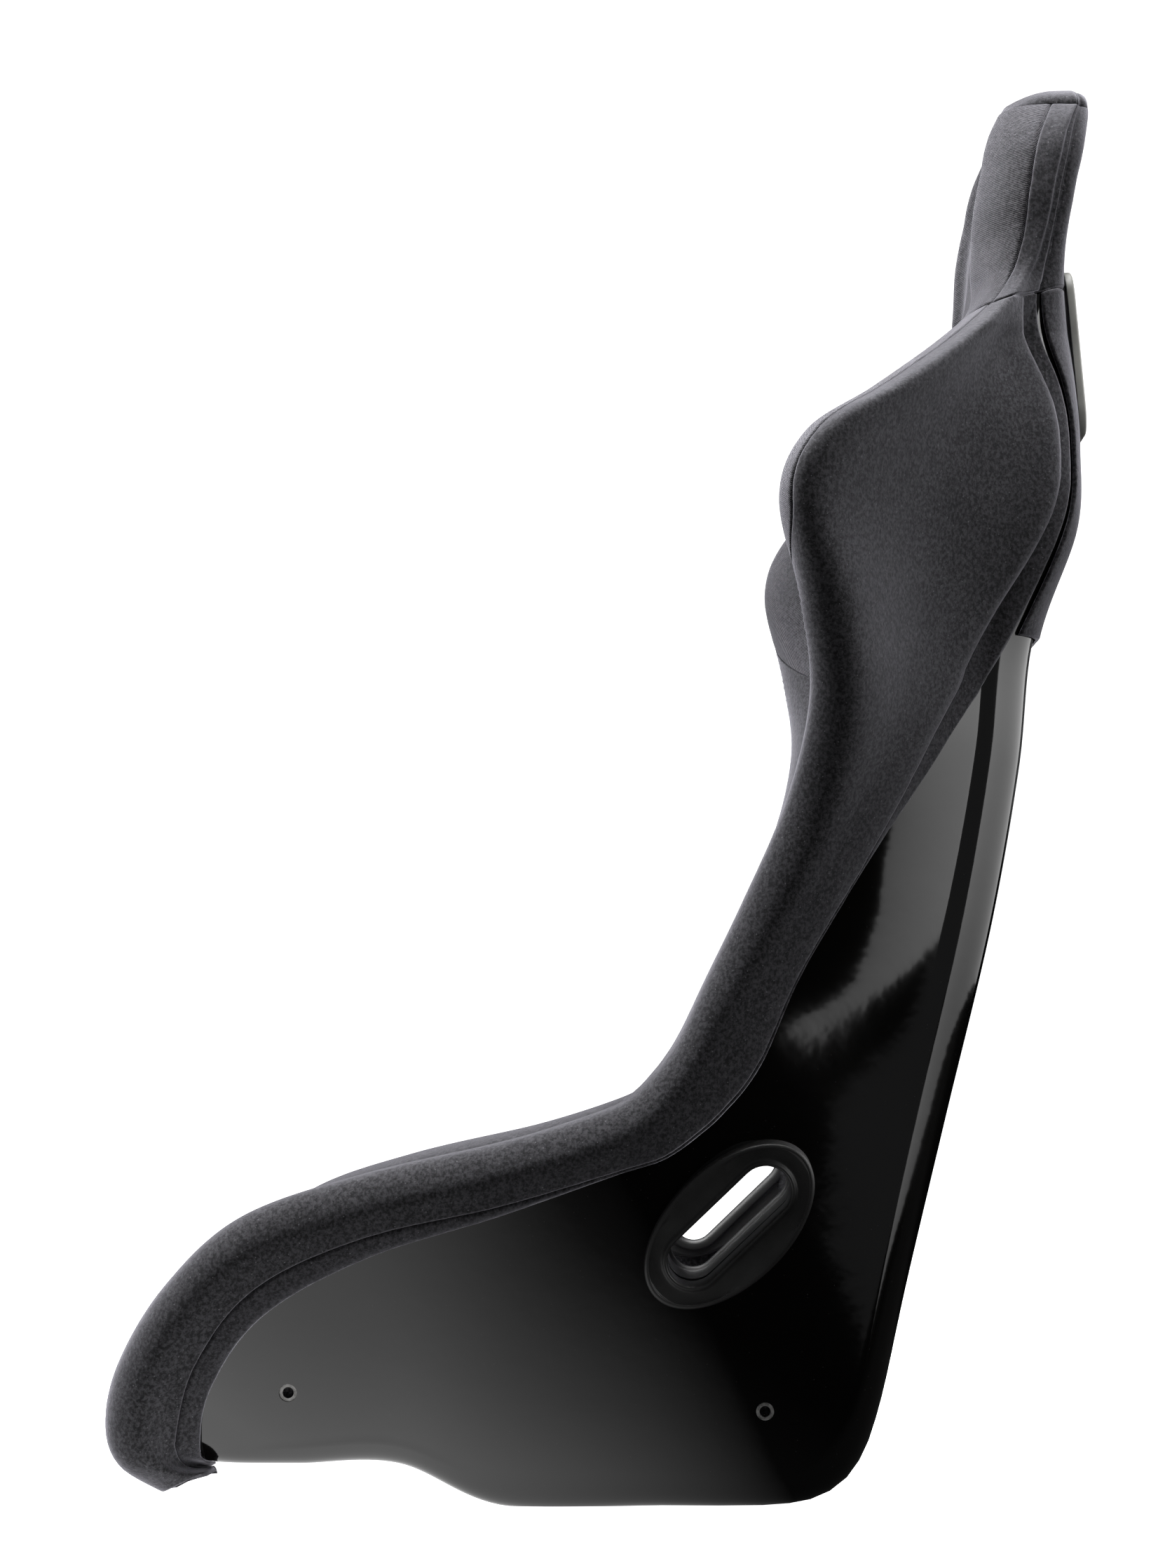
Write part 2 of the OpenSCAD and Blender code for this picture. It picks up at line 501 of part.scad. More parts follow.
// Rear and sides of the head section: columns up to 2 as on the rear cover, then up to 3 over the side to
// the crest
head_rear_cols = concat([-3, -2.75, -2.5, -2.25], rear_cols, [2.25, 2.5, 2.75, 3]);
function head_rear(t, c, inside) =
    let (a = abs(c), v = (a - 2) * (ROLL_CREST - 0.1))
    flip(a <= 2 ? skin(t, rear_h(c, hem_h(t)), inside ? glue_t : HEM_T)
        : inside ? roll_under(t, v, cover_t, 0.5) : roll_out(t, v), c);
module head_rear_cover() color("#2b2b30") difference() {
    sheet_solid([for (t = head_ts) [for (c = head_rear_cols) head_rear(t, c, false)]],
        [for (t = head_ts) [for (c = head_rear_cols) head_rear(t, c, true)]]);
    shell_body(0.3);
    shoulder_pocket();
}
// Top of the head section, over the shell's upper edge
module head_crown() color("#2b2b30") {
    ts = rows(SHELL_END + JOIN, LAST);
    sheet_solid([for (t = ts) [for (f = head_fs) head_front(t, -f * 0.98, 0)]],
        [for (t = ts) [for (f = head_fs) flip(skin(t, abs(f) * 0.98, HEM_T), -f)]]);
}

// ---- harness slot trims ----
// The side wall around the slot, thickened so that it can be cut from a trim that bears on it
module wall_patch(out, in) {
    ts = rows(7, 15);
    hs = concat([0.35, 0.4, 0.45, 0.5], shell_side);
    sheet_solid([for (t = ts) [for (h = hs) skin(t, h, out)]], [for (t = ts) [for (h = hs) skin(t, h, in)]]);
}
module side_bezel_outer() color("#1c1c1e") difference() {
    union() {
        difference() {
            at_side_slot() translate([0, 0, -6]) oval(bezel_rx, bezel_ry, bezel_t + 6);
            wall_patch(0.15, -30);
        }
        at_side_slot() translate([0, 0, -12]) linear_extrude(14)
            stadium(side_slot_l + 2.4, side_slot_w + 2.4);
    }
    at_side_slot() translate([0, 0, -30]) linear_extrude(60) stadium(side_slot_l, side_slot_w);
}
module side_bezel_inner() color("#1c1c1e") at_side_slot() difference() {
    union() {
        translate([0, 0, inner_bezel_z]) oval(bezel_rx - 4, bezel_ry - 4, 4);
        translate([0, 0, inner_bezel_z + 1]) linear_extrude(-15 - inner_bezel_z)
            stadium(side_slot_l + 2.4, side_slot_w + 2.4);
    }
    translate([0, 0, -60]) linear_extrude(60) stadium(side_slot_l, side_slot_w);
}
// Clear space for the slot's sleeve and, inside, for the inner trim
module side_slot_pocket() {
    side_slot_cut(4);
    at_side_slot() translate([0, 0, inner_bezel_z - 30]) oval(bezel_rx - 3, bezel_ry - 3, 35);
}
// Oval disc
module oval(rx, ry, h) { linear_extrude(h) scale([1, ry / rx]) circle(r = rx, $fn = 96); }

// Shoulder belt trims: a flange on the face and a sleeve that lines the opening, leaning with the back
module at_shoulder(y, lean) {
    translate([shoulder_at[0], y, shoulder_at[1]]) rotate([90 + lean, 0, 0]) children();
}
module shoulder_trim(flange_z, sleeve_z, sleeve_l) difference() {
    union() {
        translate([0, 0, flange_z]) linear_extrude(shoulder_flange_t)
            rounded(shoulder_slot_w + 2 * shoulder_flange_w, shoulder_slot_h + 2 * shoulder_flange_w, 18);
        translate([0, 0, sleeve_z]) linear_extrude(sleeve_l)
            rounded(shoulder_slot_w + 2, shoulder_slot_h + 2, 12);
    }
    translate([0, 0, -60]) linear_extrude(120) rounded(shoulder_slot_w - 2, shoulder_slot_h - 2, 11);
}
module shoulder_bezel_rear() color("#6f7370") at_shoulder(shoulder_rear_y, shoulder_lean)
    shoulder_trim(-shoulder_flange_t, -1, 24);
module shoulder_bezel_front() color("#1c1c1e") at_shoulder(shoulder_front_y, 0)
    shoulder_trim(0, -24, 25);

// Crotch belt trims: one through the cushion's cover, one under the shell
module crotch_trim(z, flange_z, sleeve_z, sleeve_l) translate([0, crotch_y, z]) difference() {
    union() {
        translate([0, 0, flange_z]) linear_extrude(3)
            rounded(crotch_slot_w + 16, crotch_slot_l + 16, 16);
        translate([0, 0, sleeve_z]) linear_extrude(sleeve_l)
            rounded(crotch_slot_w + 2, crotch_slot_l + 2, 10);
    }
    translate([0, 0, -60]) linear_extrude(120) rounded(crotch_slot_w - 2, crotch_slot_l - 2, 9);
}
module crotch_bezel_upper() color("#1c1c1e") crotch_trim(crotch_top_z, 0, -20, 21);
module crotch_bezel_lower() color("#1c1c1e") crotch_trim(crotch_base_z, -3, -1, 8);

shell_pan();
shell_back();
shell_upper_back();
shell_head();
shell_thigh_side();  // shell_thigh_side_left
mirror([1, 0, 0]) shell_thigh_side();  // shell_thigh_side_right
shell_hip_side();  // shell_hip_side_left
mirror([1, 0, 0]) shell_hip_side();  // shell_hip_side_right
shell_torso_side();  // shell_torso_side_left
mirror([1, 0, 0]) shell_torso_side();  // shell_torso_side_right
shell_wing_side();  // shell_wing_side_left
mirror([1, 0, 0]) shell_wing_side();  // shell_wing_side_right
shell_head_side();  // shell_head_side_left
mirror([1, 0, 0]) shell_head_side();  // shell_head_side_right
side_inserts();  // side_inserts_left
mirror([1, 0, 0]) side_inserts();  // side_inserts_right
side_plate();  // side_plate_left
mirror([1, 0, 0]) side_plate();  // side_plate_right
thigh_foam();  // thigh_foam_left
mirror([1, 0, 0]) thigh_foam();  // thigh_foam_right
hip_upper_foam();  // hip_upper_foam_left
mirror([1, 0, 0]) hip_upper_foam();  // hip_upper_foam_right
hip_lower_foam();  // hip_lower_foam_left
mirror([1, 0, 0]) hip_lower_foam();  // hip_lower_foam_right
torso_foam();  // torso_foam_left
mirror([1, 0, 0]) torso_foam();  // torso_foam_right
shoulder_foam();  // shoulder_foam_left
mirror([1, 0, 0]) shoulder_foam();  // shoulder_foam_right
nose_foam();
back_foam();
upper_back_foam();
head_foam();
head_crown();
cushion_foam();
cushion_cover();
cushion_loop_strips();
pan_hook_strips();
nose_cover();
back_cover();
side_cover();  // side_cover_left
mirror([1, 0, 0]) side_cover();  // side_cover_right
rim_band();  // rim_band_left
mirror([1, 0, 0]) rim_band();  // rim_band_right
wing_inner_cover();  // wing_inner_cover_left
mirror([1, 0, 0]) wing_inner_cover();  // wing_inner_cover_right
rear_cover();
head_front_cover();
head_rear_cover();
side_bezel_outer();  // side_bezel_outer_left
mirror([1, 0, 0]) side_bezel_outer();  // side_bezel_outer_right
side_bezel_inner();  // side_bezel_inner_left
mirror([1, 0, 0]) side_bezel_inner();  // side_bezel_inner_right
shoulder_bezel_front();  // shoulder_bezel_front_left
mirror([1, 0, 0]) shoulder_bezel_front();  // shoulder_bezel_front_right
shoulder_bezel_rear();  // shoulder_bezel_rear_left
mirror([1, 0, 0]) shoulder_bezel_rear();  // shoulder_bezel_rear_right
crotch_bezel_upper();
crotch_bezel_lower();
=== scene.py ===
"""Looks of the racing seat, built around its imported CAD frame.

Lengths are millimetres until a mesh is made; the studio's are metres.
"""
import math

import bpy
import numpy as np
from mathutils import Matrix, Vector, kdtree, noise


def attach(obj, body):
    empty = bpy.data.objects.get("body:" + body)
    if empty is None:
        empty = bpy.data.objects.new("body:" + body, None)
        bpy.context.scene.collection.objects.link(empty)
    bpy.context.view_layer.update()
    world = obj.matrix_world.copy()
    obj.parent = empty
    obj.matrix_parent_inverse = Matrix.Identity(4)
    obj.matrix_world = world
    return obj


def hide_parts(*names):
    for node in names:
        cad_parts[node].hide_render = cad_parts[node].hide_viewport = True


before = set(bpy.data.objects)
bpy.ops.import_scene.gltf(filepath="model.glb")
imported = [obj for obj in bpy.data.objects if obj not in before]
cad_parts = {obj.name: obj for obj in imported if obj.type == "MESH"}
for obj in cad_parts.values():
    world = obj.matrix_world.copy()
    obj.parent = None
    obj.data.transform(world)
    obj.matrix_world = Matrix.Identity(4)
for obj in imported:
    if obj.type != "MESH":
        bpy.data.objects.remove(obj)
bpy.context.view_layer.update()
MM = 0.001

# ---------------------------------------------------------------- guide curves, as in part.scad
# One entry per station, from the nose (0) to the top of the head section (27)
PROFILE = [
    [-246, 22], [-248, 24], [-246, 26], [-238, 26], [-222, 26], [-190, 26], [-130, 26], [-66, 0],
    [30, 0], [95, 0], [128, 5], [150, 22], [165, 58], [183, 137], [208, 240], [236, 355],
    [254, 455], [263, 535], [287, 605], [289, 655], [286, 695], [281, 735], [278, 768], [279, 795],
    [283, 825], [289, 852], [293, 876], [290, 896]]
CREST = [
    [196, -272, 8], [208, -298, 26], [216, -305, 52], [224, -296, 90], [231, -268, 136], [235, -223, 177],
    [236, -150, 203], [235, -60, 224], [232, 0, 243], [230, 16, 253], [229, 26, 263], [228, 34, 273],
    [227, 43, 288], [225, 58, 320], [224, 80, 366], [232, 107, 428], [254, 121, 490], [274, 115, 545],
    [285, 103, 606], [277, 119, 646], [240, 160, 678], [190, 204, 716], [150, 238, 752], [140, 248, 782],
    [137, 252, 815], [129, 258, 848], [107, 268, 877], [72, 275, 896]]
# Half the width of the shell's base or back, the share of CORNER_R, and where the hem lies up the side wall
HALF_BASE = [
    150, 168, 182, 190, 196, 199, 200, 200, 200, 199, 198, 196, 193, 186, 176, 168,
    162, 158, 156, 154, 150, 144, 136, 130, 127, 118, 98, 66]
CORNER_SHARE = [
    0.3, 0.3, 0.3, 0.3, 0.34, 0.4, 0.46, 0.5, 0.5, 0.54, 0.7, 0.88, 1, 1, 1, 1,
    1, 1, 1, 1, 1, 1, 1, 1, 1, 1, 1, 1]
HEM_AT = [
    0.05, 0.05, 0.08, 0.21, 0.42, 0.59, 0.71, 0.795, 0.83, 0.825, 0.82, 0.81, 0.78, 0.715, 0.69, 0.58,
    0.36, 0.11, 0.05, 0.04, 0.08, 0.22, 0.30, 0.30, 0.30, 0.30, 0.30, 0.30]
# The roll's inner shoulder: how far in from the crest, and how far below it
SHOULDER_IN = [
    60, 56, 50, 46, 46, 46, 46, 46, 46, 46, 46, 46, 46, 46, 46, 46,
    44, 40, 38, 40, 42, 44, 46, 46, 45, 42, 36, 26]
SHOULDER_DOWN = [
    -1, -1, -1, 2, 8, 11, 12, 12, 12, 12, 12, 12, 12, 12, 12, 12,
    12, 10, 8, 6, 2, -4, -13, -19, -20, -17, -11, -5]
# The valley where a roll meets the middle pads: its half width and height, and the height of the pads' middle
VALLEY_X = [
    100, 120, 140, 156, 160, 160, 160, 160, 160, 160, 159, 158, 157, 154, 146, 138,
    132, 128, 126, 124, 120, 110, 78, 56, 52, 48, 40, 28]
VALLEY_W = [
    31, 56, 68, 82, 76, 70, 66, 86, 74, 73, 72, 68, 61, 57, 55, 49,
    47, 45, 55, 53, 49, 45, 50, 46, 44, 41, 36, 22]
MIDDLE_W = [
    32, 60, 72, 84, 77, 69, 64, 84, 72, 71, 70, 66, 60, 57, 56, 50,
    46, 43, 52, 50, 46, 43, 44, 40, 38, 36, 33, 21]
# Distance of the seam from the hem, over the fabric: sewn at the thigh, a tuck at the waist, the wing's edge
SEAM_UP = [
    20, 22, 23, 23, 23, 22, 17, 9, 4, 3, 3, 3, 3, 3, 3, 4, 15, 20, 10, 7, 8, 12, 16, 16, 16, 16, 16, 16]
# How far the fabric stands proud of the band at that seam
PROUD = [
    0, 0, 0, 0, 0, 0, 0, 0, 0, 0, 0, 0, 0, 0, 0, 1, 4, 6, 6, 6, 5, 4, 0, 0, 0, 0, 0, 0]

CENTRE_Y = 7            # as in part.scad: Y = 0 is the middle of the seat's length
SHELL_T, CORNER_R = 5, 30
ROLL_H = 16             # foam and fabric over the shell's rim
HEM_T, GLUE_T = 3.2, 1.4
FLAT, WALL = 0.35, 0.55                     # h at which the shell's flat middle and its corner end
SHELL_START, SHELL_END = 2, 26              # stations, as are the next four lines
CUSHION_START, CUSHION_END = 4.03, 10.93
BACK_START, BACK_END = 11, 21.57
HEAD_START = 21.6
WING_START = 16.03
CUSHION_HALF = 156      # half the width of the lift-out cushion
ROLL_PARTS, ROLL_CREST = 7, 3.6             # v at the valley and at the roll's crest; the hem is at 0
RIM_OUT, RIM_IN = 3, 4.2                    # v between which the roll's underside goes over the shell's rim
MIDDLE_LIFT = 0.5       # gap between a middle cushion and the shell
CUSHION_LIFT = 4.1      # the same under the lift-out cushion, over its hook and loop strips
HEAD_TOP_Z = 895.5      # top of the head section
FABRIC_BACK = 8         # how much wider a belt slot is in the fabric round it


def spline(a, b, c, d, f):
    """Catmull-Rom curve from b to c."""
    return 0.5 * (2 * b + (c - a) * f + (2 * a - 5 * b + 4 * c - d) * f * f
                  + (3 * b - 3 * c + d - a) * f ** 3)


def along(points, t):
    """Smooth curve through points, at stations t (an array)."""
    points, t = np.asarray(points, float), np.asarray(t, float)
    last = len(points) - 1
    i = np.clip(np.floor(t).astype(int), 0, last - 1)
    f = t - i
    if points.ndim > 1:
        f = f[..., None]
    return spline(points[np.clip(i - 1, 0, last)], points[i], points[i + 1],
                  points[np.clip(i + 2, 0, last)], f)


def mix(a, b, f):
    return a + (b - a) * f


def ramp(t, start, end):
    """0 before start, 1 after end, with a smooth step between them."""
    f = np.clip((np.asarray(t, float) - start) / (end - start), 0, 1)
    return f * f * (3 - 2 * f)


def pair(a, b):
    return np.stack(np.broadcast_arrays(a, b), -1)


# ---------------------------------------------------------------- surfaces
def reach(t):
    s, k = along(PROFILE, t), along(CREST, t)
    return np.hypot(k[..., 1] - s[..., 0], k[..., 2] - s[..., 1])


def place(t, q):
    """Point q = (sideways, towards the crest) of station t, in space."""
    s, k = along(PROFILE, t), along(CREST, t)
    d = (k[..., 1:] - s) / reach(t)[..., None]
    y = CENTRE_Y + s[..., 0] + d[..., 0] * q[..., 1]
    return np.stack([q[..., 0], y, s[..., 1] + d[..., 1] * q[..., 1]], -1)


def corner(t):
    return np.minimum(CORNER_R * along(CORNER_SHARE, t), 0.42 * (reach(t) - ROLL_H))


def skin_q(t, h):
    """The shell's outer face in a station's plane: flat middle, corner, then the side wall up to the rim."""
    t, h = np.broadcast_arrays(np.asarray(t, float), np.asarray(h, float))
    b, r, k = along(HALF_BASE, t), corner(t), along(CREST, t)[..., 0]
    rim = reach(t) - ROLL_H
    a = np.radians(90 * np.clip((h - FLAT) / (WALL - FLAT), 0, 1))
    u = np.clip((h - WALL) / (1 - WALL), 0, None)[..., None]
    flat = pair((b - r) * h / FLAT, 0 * h)
    bend = pair(b - r + r * np.sin(a), r - r * np.cos(a))
    wall = ((1 - u) ** 2 * pair(b, r) + 2 * u * (1 - u) * pair(mix(b, k, 0.3), mix(r, rim, 0.55))
            + u * u * pair(k - 2, rim))
    return np.where((h <= FLAT)[..., None], flat, np.where((h < WALL)[..., None], bend, wall))


def skin_n(t, h):
    h = np.asarray(h, float)
    d = skin_q(t, np.minimum(1, h + 0.01)) - skin_q(t, np.maximum(0, h - 0.01))
    d = d / np.linalg.norm(d, axis=-1, keepdims=True)
    return pair(d[..., 1], -d[..., 0])


def skin(t, h, off):
    return place(t, skin_q(t, h) + np.asarray(off)[..., None] * skin_n(t, h))


def hem_h(t):
    """Where the hem lies on the shell's outer face."""
    w, r, rim = along(HEM_AT, t) * reach(t), corner(t), reach(t) - ROLL_H
    low = FLAT + (WALL - FLAT) * np.degrees(np.arccos(np.clip(1 - w / r, 0, 1))) / 90
    return np.where(w <= r, low, WALL + (1 - WALL) * np.clip((w - r) / (rim - r), 0, 1))


def roll_ctrl(t):
    t = np.asarray(t, float)
    e, k, w = hem_h(t), along(CREST, t)[..., 0], reach(t)
    v = pair(along(VALLEY_X, t), along(VALLEY_W, t))
    s = pair(k - along(SHOULDER_IN, t), w - along(SHOULDER_DOWN, t))
    puff = np.where(t < 21, 11, mix(11, 4, np.clip(t - 21, 0, 1)))[..., None]

    def off(f, d):
        h = mix(e, 1, f)
        return skin_q(t, h) + d * skin_n(t, h)
    return np.stack([
        off(0, HEM_T), off(0.15, 0.4 * puff + HEM_T), off(0.55, puff), off(1, puff + 1) + [0, 2],
        pair(k - 6, w), s, mix(s, v, 0.5) + [2, -3], v], -2)


def roll_q(t, v):
    t, v = np.broadcast_arrays(np.asarray(t, float), np.asarray(v, float))
    ctrl = roll_ctrl(t)
    i = np.clip(np.floor(v).astype(int), 0, ROLL_PARTS - 1)
    f = (v - i)[..., None]

    def at(j):
        return np.take_along_axis(ctrl, np.clip(j, 0, ROLL_PARTS)[..., None, None], -2)[..., 0, :]
    return spline(at(i - 1), at(i), at(i + 1), at(i + 2), f)


def roll_out(t, v):
    return place(t, roll_q(t, v))


def roll_in(t, v):
    """The shell's side of the roll: up the outer face, over the rim, down the inner face to the valley."""
    t, v = np.broadcast_arrays(np.asarray(t, float), np.asarray(v, float))
    e, inward = hem_h(t), -SHELL_T - GLUE_T
    end = FLAT * np.clip(along(VALLEY_X, t) / (along(HALF_BASE, t) - corner(t)), 0, 1.25)
    up, down = np.clip(v / RIM_OUT, 0, 1), np.clip((v - RIM_IN) / (ROLL_PARTS - RIM_IN), 0, 1)
    over = np.clip((v - RIM_OUT) / (RIM_IN - RIM_OUT), 0, 1)
    h = np.where(v <= RIM_OUT, mix(e, 1, up), np.where(v < RIM_IN, 1.0, mix(1, end, down)))
    off = np.where(v <= RIM_OUT, GLUE_T, mix(GLUE_T, inward, over))
    rise = np.where(v <= RIM_OUT, GLUE_T * up, np.where(v < RIM_IN, GLUE_T, GLUE_T * (1 - down)))
    return place(t, skin_q(t, h) + off[..., None] * skin_n(t, h) + pair(0 * rise, rise))


def mirror_x(points, c):
    """Points with X turned round where c is negative."""
    return points * np.where(c < 0, -1, 1)[..., None] ** np.array([1, 0, 0])


def middle_out(t, x):
    f = np.clip(np.abs(x) / along(VALLEY_X, t), 0, 1)
    return place(t, pair(x, mix(along(MIDDLE_W, t), along(VALLEY_W, t), f * f)))


def middle_in(t, x, lift):
    r = corner(t)
    inner = r - SHELL_T
    over = np.clip(np.abs(x) - along(HALF_BASE, t) + r, 0, inner)
    return place(t, pair(x, SHELL_T + lift + inner - np.sqrt(np.maximum(0, inner ** 2 - over ** 2))))


# ---------------------------------------------------------------- grids of points
def lengths(grid, axis):
    """Distance along each line of the grid, from its start."""
    step = np.linalg.norm(np.diff(grid, axis=axis), axis=-1)
    start = np.zeros_like(np.take(step, [0], axis))
    return np.concatenate([start, np.cumsum(step, axis)], axis)


def normals(grid, inner):
    n = np.cross(np.gradient(grid, axis=0), np.gradient(grid, axis=1))
    n = n / np.maximum(np.linalg.norm(n, axis=-1, keepdims=True), 1e-9)
    side = np.sign(np.sum(n * (grid - inner), -1, keepdims=True))
    return n * np.where(side == 0, 1, side)


def spaced(a, b, step, ends=(4, 4)):
    """Distances from a to b, a step apart, with ends' few shorter ones at each end for a rounded edge."""
    n = max(3, int(round((b - a) / step)))
    f = np.linspace(0, 1, n + 1)
    first = [f[1] * k / (ends[0] + 1) for k in range(1, ends[0] + 1)]
    last = [1 - f[1] * k / (ends[1] + 1) for k in range(ends[1], 0, -1)]
    return a + (b - a) * np.array(sorted([*f, *first, *last]))


def stations(a, b, step=5, ends=(4, 4)):
    """Stations from a to b, step apart along the crest."""
    t = np.linspace(a, b, 600)
    s = np.concatenate([[0], np.cumsum(np.linalg.norm(np.diff(along(CREST, t), axis=0), axis=-1))])
    return np.interp(spaced(0, s[-1], step, ends), s, t)


def across(ts, start, end, step=5, ends=(4, 4), surface=roll_out):
    """For each station, values of v from start to end at even distances over the surface."""
    start, end = np.broadcast_to(start, ts.shape), np.broadcast_to(end, ts.shape)
    f = np.linspace(0, 1, 160)
    v = start[:, None] + (end - start)[:, None] * f
    s = lengths(surface(ts[:, None] + 0 * v, v), 1)
    share = spaced(0, 1, step / s[:, -1].max(), ends)
    return np.stack([np.interp(share * s[i, -1], s[i], v[i]) for i in range(len(ts))])


def v_up(ts, dist, surface=roll_out):
    """v at a distance over the fabric from the hem."""
    v = np.linspace(0, ROLL_PARTS, 400)
    s = lengths(surface(ts[:, None] + 0 * v, v[None] + 0 * ts[:, None]), 1)
    return np.array([np.interp(d, s[i], v) for i, d in enumerate(np.broadcast_to(dist, ts.shape))])


def drop(s, r):
    """How far a rounded edge of radius r falls, at distance s from its border."""
    r = np.maximum(r, 1e-6)
    g = np.clip(1 - s / r, 0, 1)
    return r * (1 - np.sqrt(1 - g * g))


def ripple(points, size, seed):
    """Smooth noise from -1 to 1 at every point of a grid, with features of that size."""
    flat = points.reshape(-1, 3) / size
    shift = Vector((seed * 3.7, seed * 1.9, seed * 5.3))
    return np.array([noise.noise(Vector(p) + shift) for p in flat]).reshape(points.shape[:-1])


def upholster(outer, inner, edges, seed, bulge=0.0, seam_pull=0.35, waves=0.45):
    """Rounds a padded grid's borders down into its seams and makes it slightly uneven, like stretched fabric.
    edges are the radii at the first column, last column, first row and last row; each may be an array."""
    n = normals(outer, inner)
    across_s, along_s = lengths(outer, 1), lengths(outer, 0)
    borders = [across_s, across_s[:, -1:] - across_s, along_s, along_s[-1:] - along_s]
    fall = np.zeros(outer.shape[:2])
    near = np.full(outer.shape[:2], 1e9)
    for s, r in zip(borders, edges):
        r = np.asarray(r, float)
        r = r[:, None] if r.ndim else r
        fall = fall + drop(s, r)
        near = np.minimum(near, np.where(r > 0.5, s, 1e9))
    pucker = seam_pull * np.exp(-near / 9) * ripple(outer, 9, seed)
    wave = waves * ripple(outer, 60, seed + 1) * np.clip(near / 12, 0, 1)
    swell = bulge * (1 - np.exp(-near / 14))
    return outer + n * (swell + wave + pucker - fall)[..., None]


# ---------------------------------------------------------------- meshes
def new_object(name, verts, faces, uvs=None, smooth=True):
    mesh = bpy.data.meshes.new(name)
    mesh.from_pydata((np.asarray(verts) * MM).tolist(), [], faces)
    mesh.validate()
    if uvs is not None:
        layer = mesh.uv_layers.new(name="UVMap")
        loops = np.empty(len(mesh.loops), int)
        mesh.loops.foreach_get("vertex_index", loops)
        layer.data.foreach_set("uv", (np.asarray(uvs)[loops] * MM).astype(np.float32).ravel())
    mesh.update()
    if smooth:
        mesh.polygons.foreach_set("use_smooth", [True] * len(mesh.polygons))
    obj = bpy.data.objects.new(name, mesh)
    bpy.context.scene.collection.objects.link(obj)
    return obj


def solid(name, outer, inner, mirrored=False):
    """A closed piece between two grids of points with the same rows and columns."""
    rows, cols = outer.shape[:2]
    n = rows * cols
    uv = np.stack([lengths(outer, 1), lengths(outer, 0)], -1).reshape(-1, 2)
    verts = np.concatenate([outer.reshape(-1, 3), inner.reshape(-1, 3)])
    ids = np.arange(n).reshape(rows, cols)
    a, b, c, d = ids[:-1, :-1], ids[:-1, 1:], ids[1:, 1:], ids[1:, :-1]
    faces = [np.stack([a, b, c, d], -1).reshape(-1, 4), n + np.stack([a, d, c, b], -1).reshape(-1, 4)]
    for line, flip in ((ids[0], 1), (ids[-1], 0), (ids[:, 0], 0), (ids[:, -1], 1)):
        p, q = line[:-1], line[1:]
        quad = np.stack([p, q, n + q, n + p], -1)
        faces.append(quad[:, ::-1] if flip else quad)
    faces = np.concatenate(faces)
    m = normals(outer, inner)[rows // 2, cols // 2]
    e = outer.reshape(-1, 3)[faces[len(a) // 2 * (cols - 1) + cols // 2]]
    if np.dot(np.cross(e[1] - e[0], e[2] - e[0]), m) < 0:
        faces = faces[:, ::-1]
    if mirrored:
        verts = verts * [-1, 1, 1]
        faces = faces[:, ::-1]
    return new_object(name, verts, faces.tolist(), np.concatenate([uv, uv]))


SIDES = (("left", False), ("right", True))


def dress(obj, material, body, slot, *nodes):
    """Gives a piece its material and body and hides the CAD nodes that it stands for. slot is not used."""
    obj.data.materials.clear()
    obj.data.materials.append(material)
    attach(obj, body)
    if nodes:
        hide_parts(*nodes)
    return obj


# ---------------------------------------------------------------- materials
def material(name):
    mat = bpy.data.materials.new(name)
    mat.use_nodes = True
    return mat, mat.node_tree.nodes, mat.node_tree.links


def node(nodes, kind, **values):
    made = nodes.new(kind)
    for key, value in values.items():
        setattr(made, key, value)
    return made


def ramp_node(nodes, links, source, low, high, low_value, high_value):
    made = node(nodes, "ShaderNodeMapRange")
    for key, value in (("From Min", low), ("From Max", high), ("To Min", low_value), ("To Max", high_value)):
        made.inputs[key].default_value = value
    links.new(source, made.inputs["Value"])
    return made.outputs["Result"]


def coloured(nodes, links, source, low, high, dark, light):
    made = node(nodes, "ShaderNodeValToRGB")
    made.color_ramp.elements[0].position = low
    made.color_ramp.elements[1].position = high
    made.color_ramp.elements[0].color = (*dark, 1)
    made.color_ramp.elements[1].color = (*light, 1)
    links.new(source, made.inputs["Fac"])
    return made.outputs["Color"]


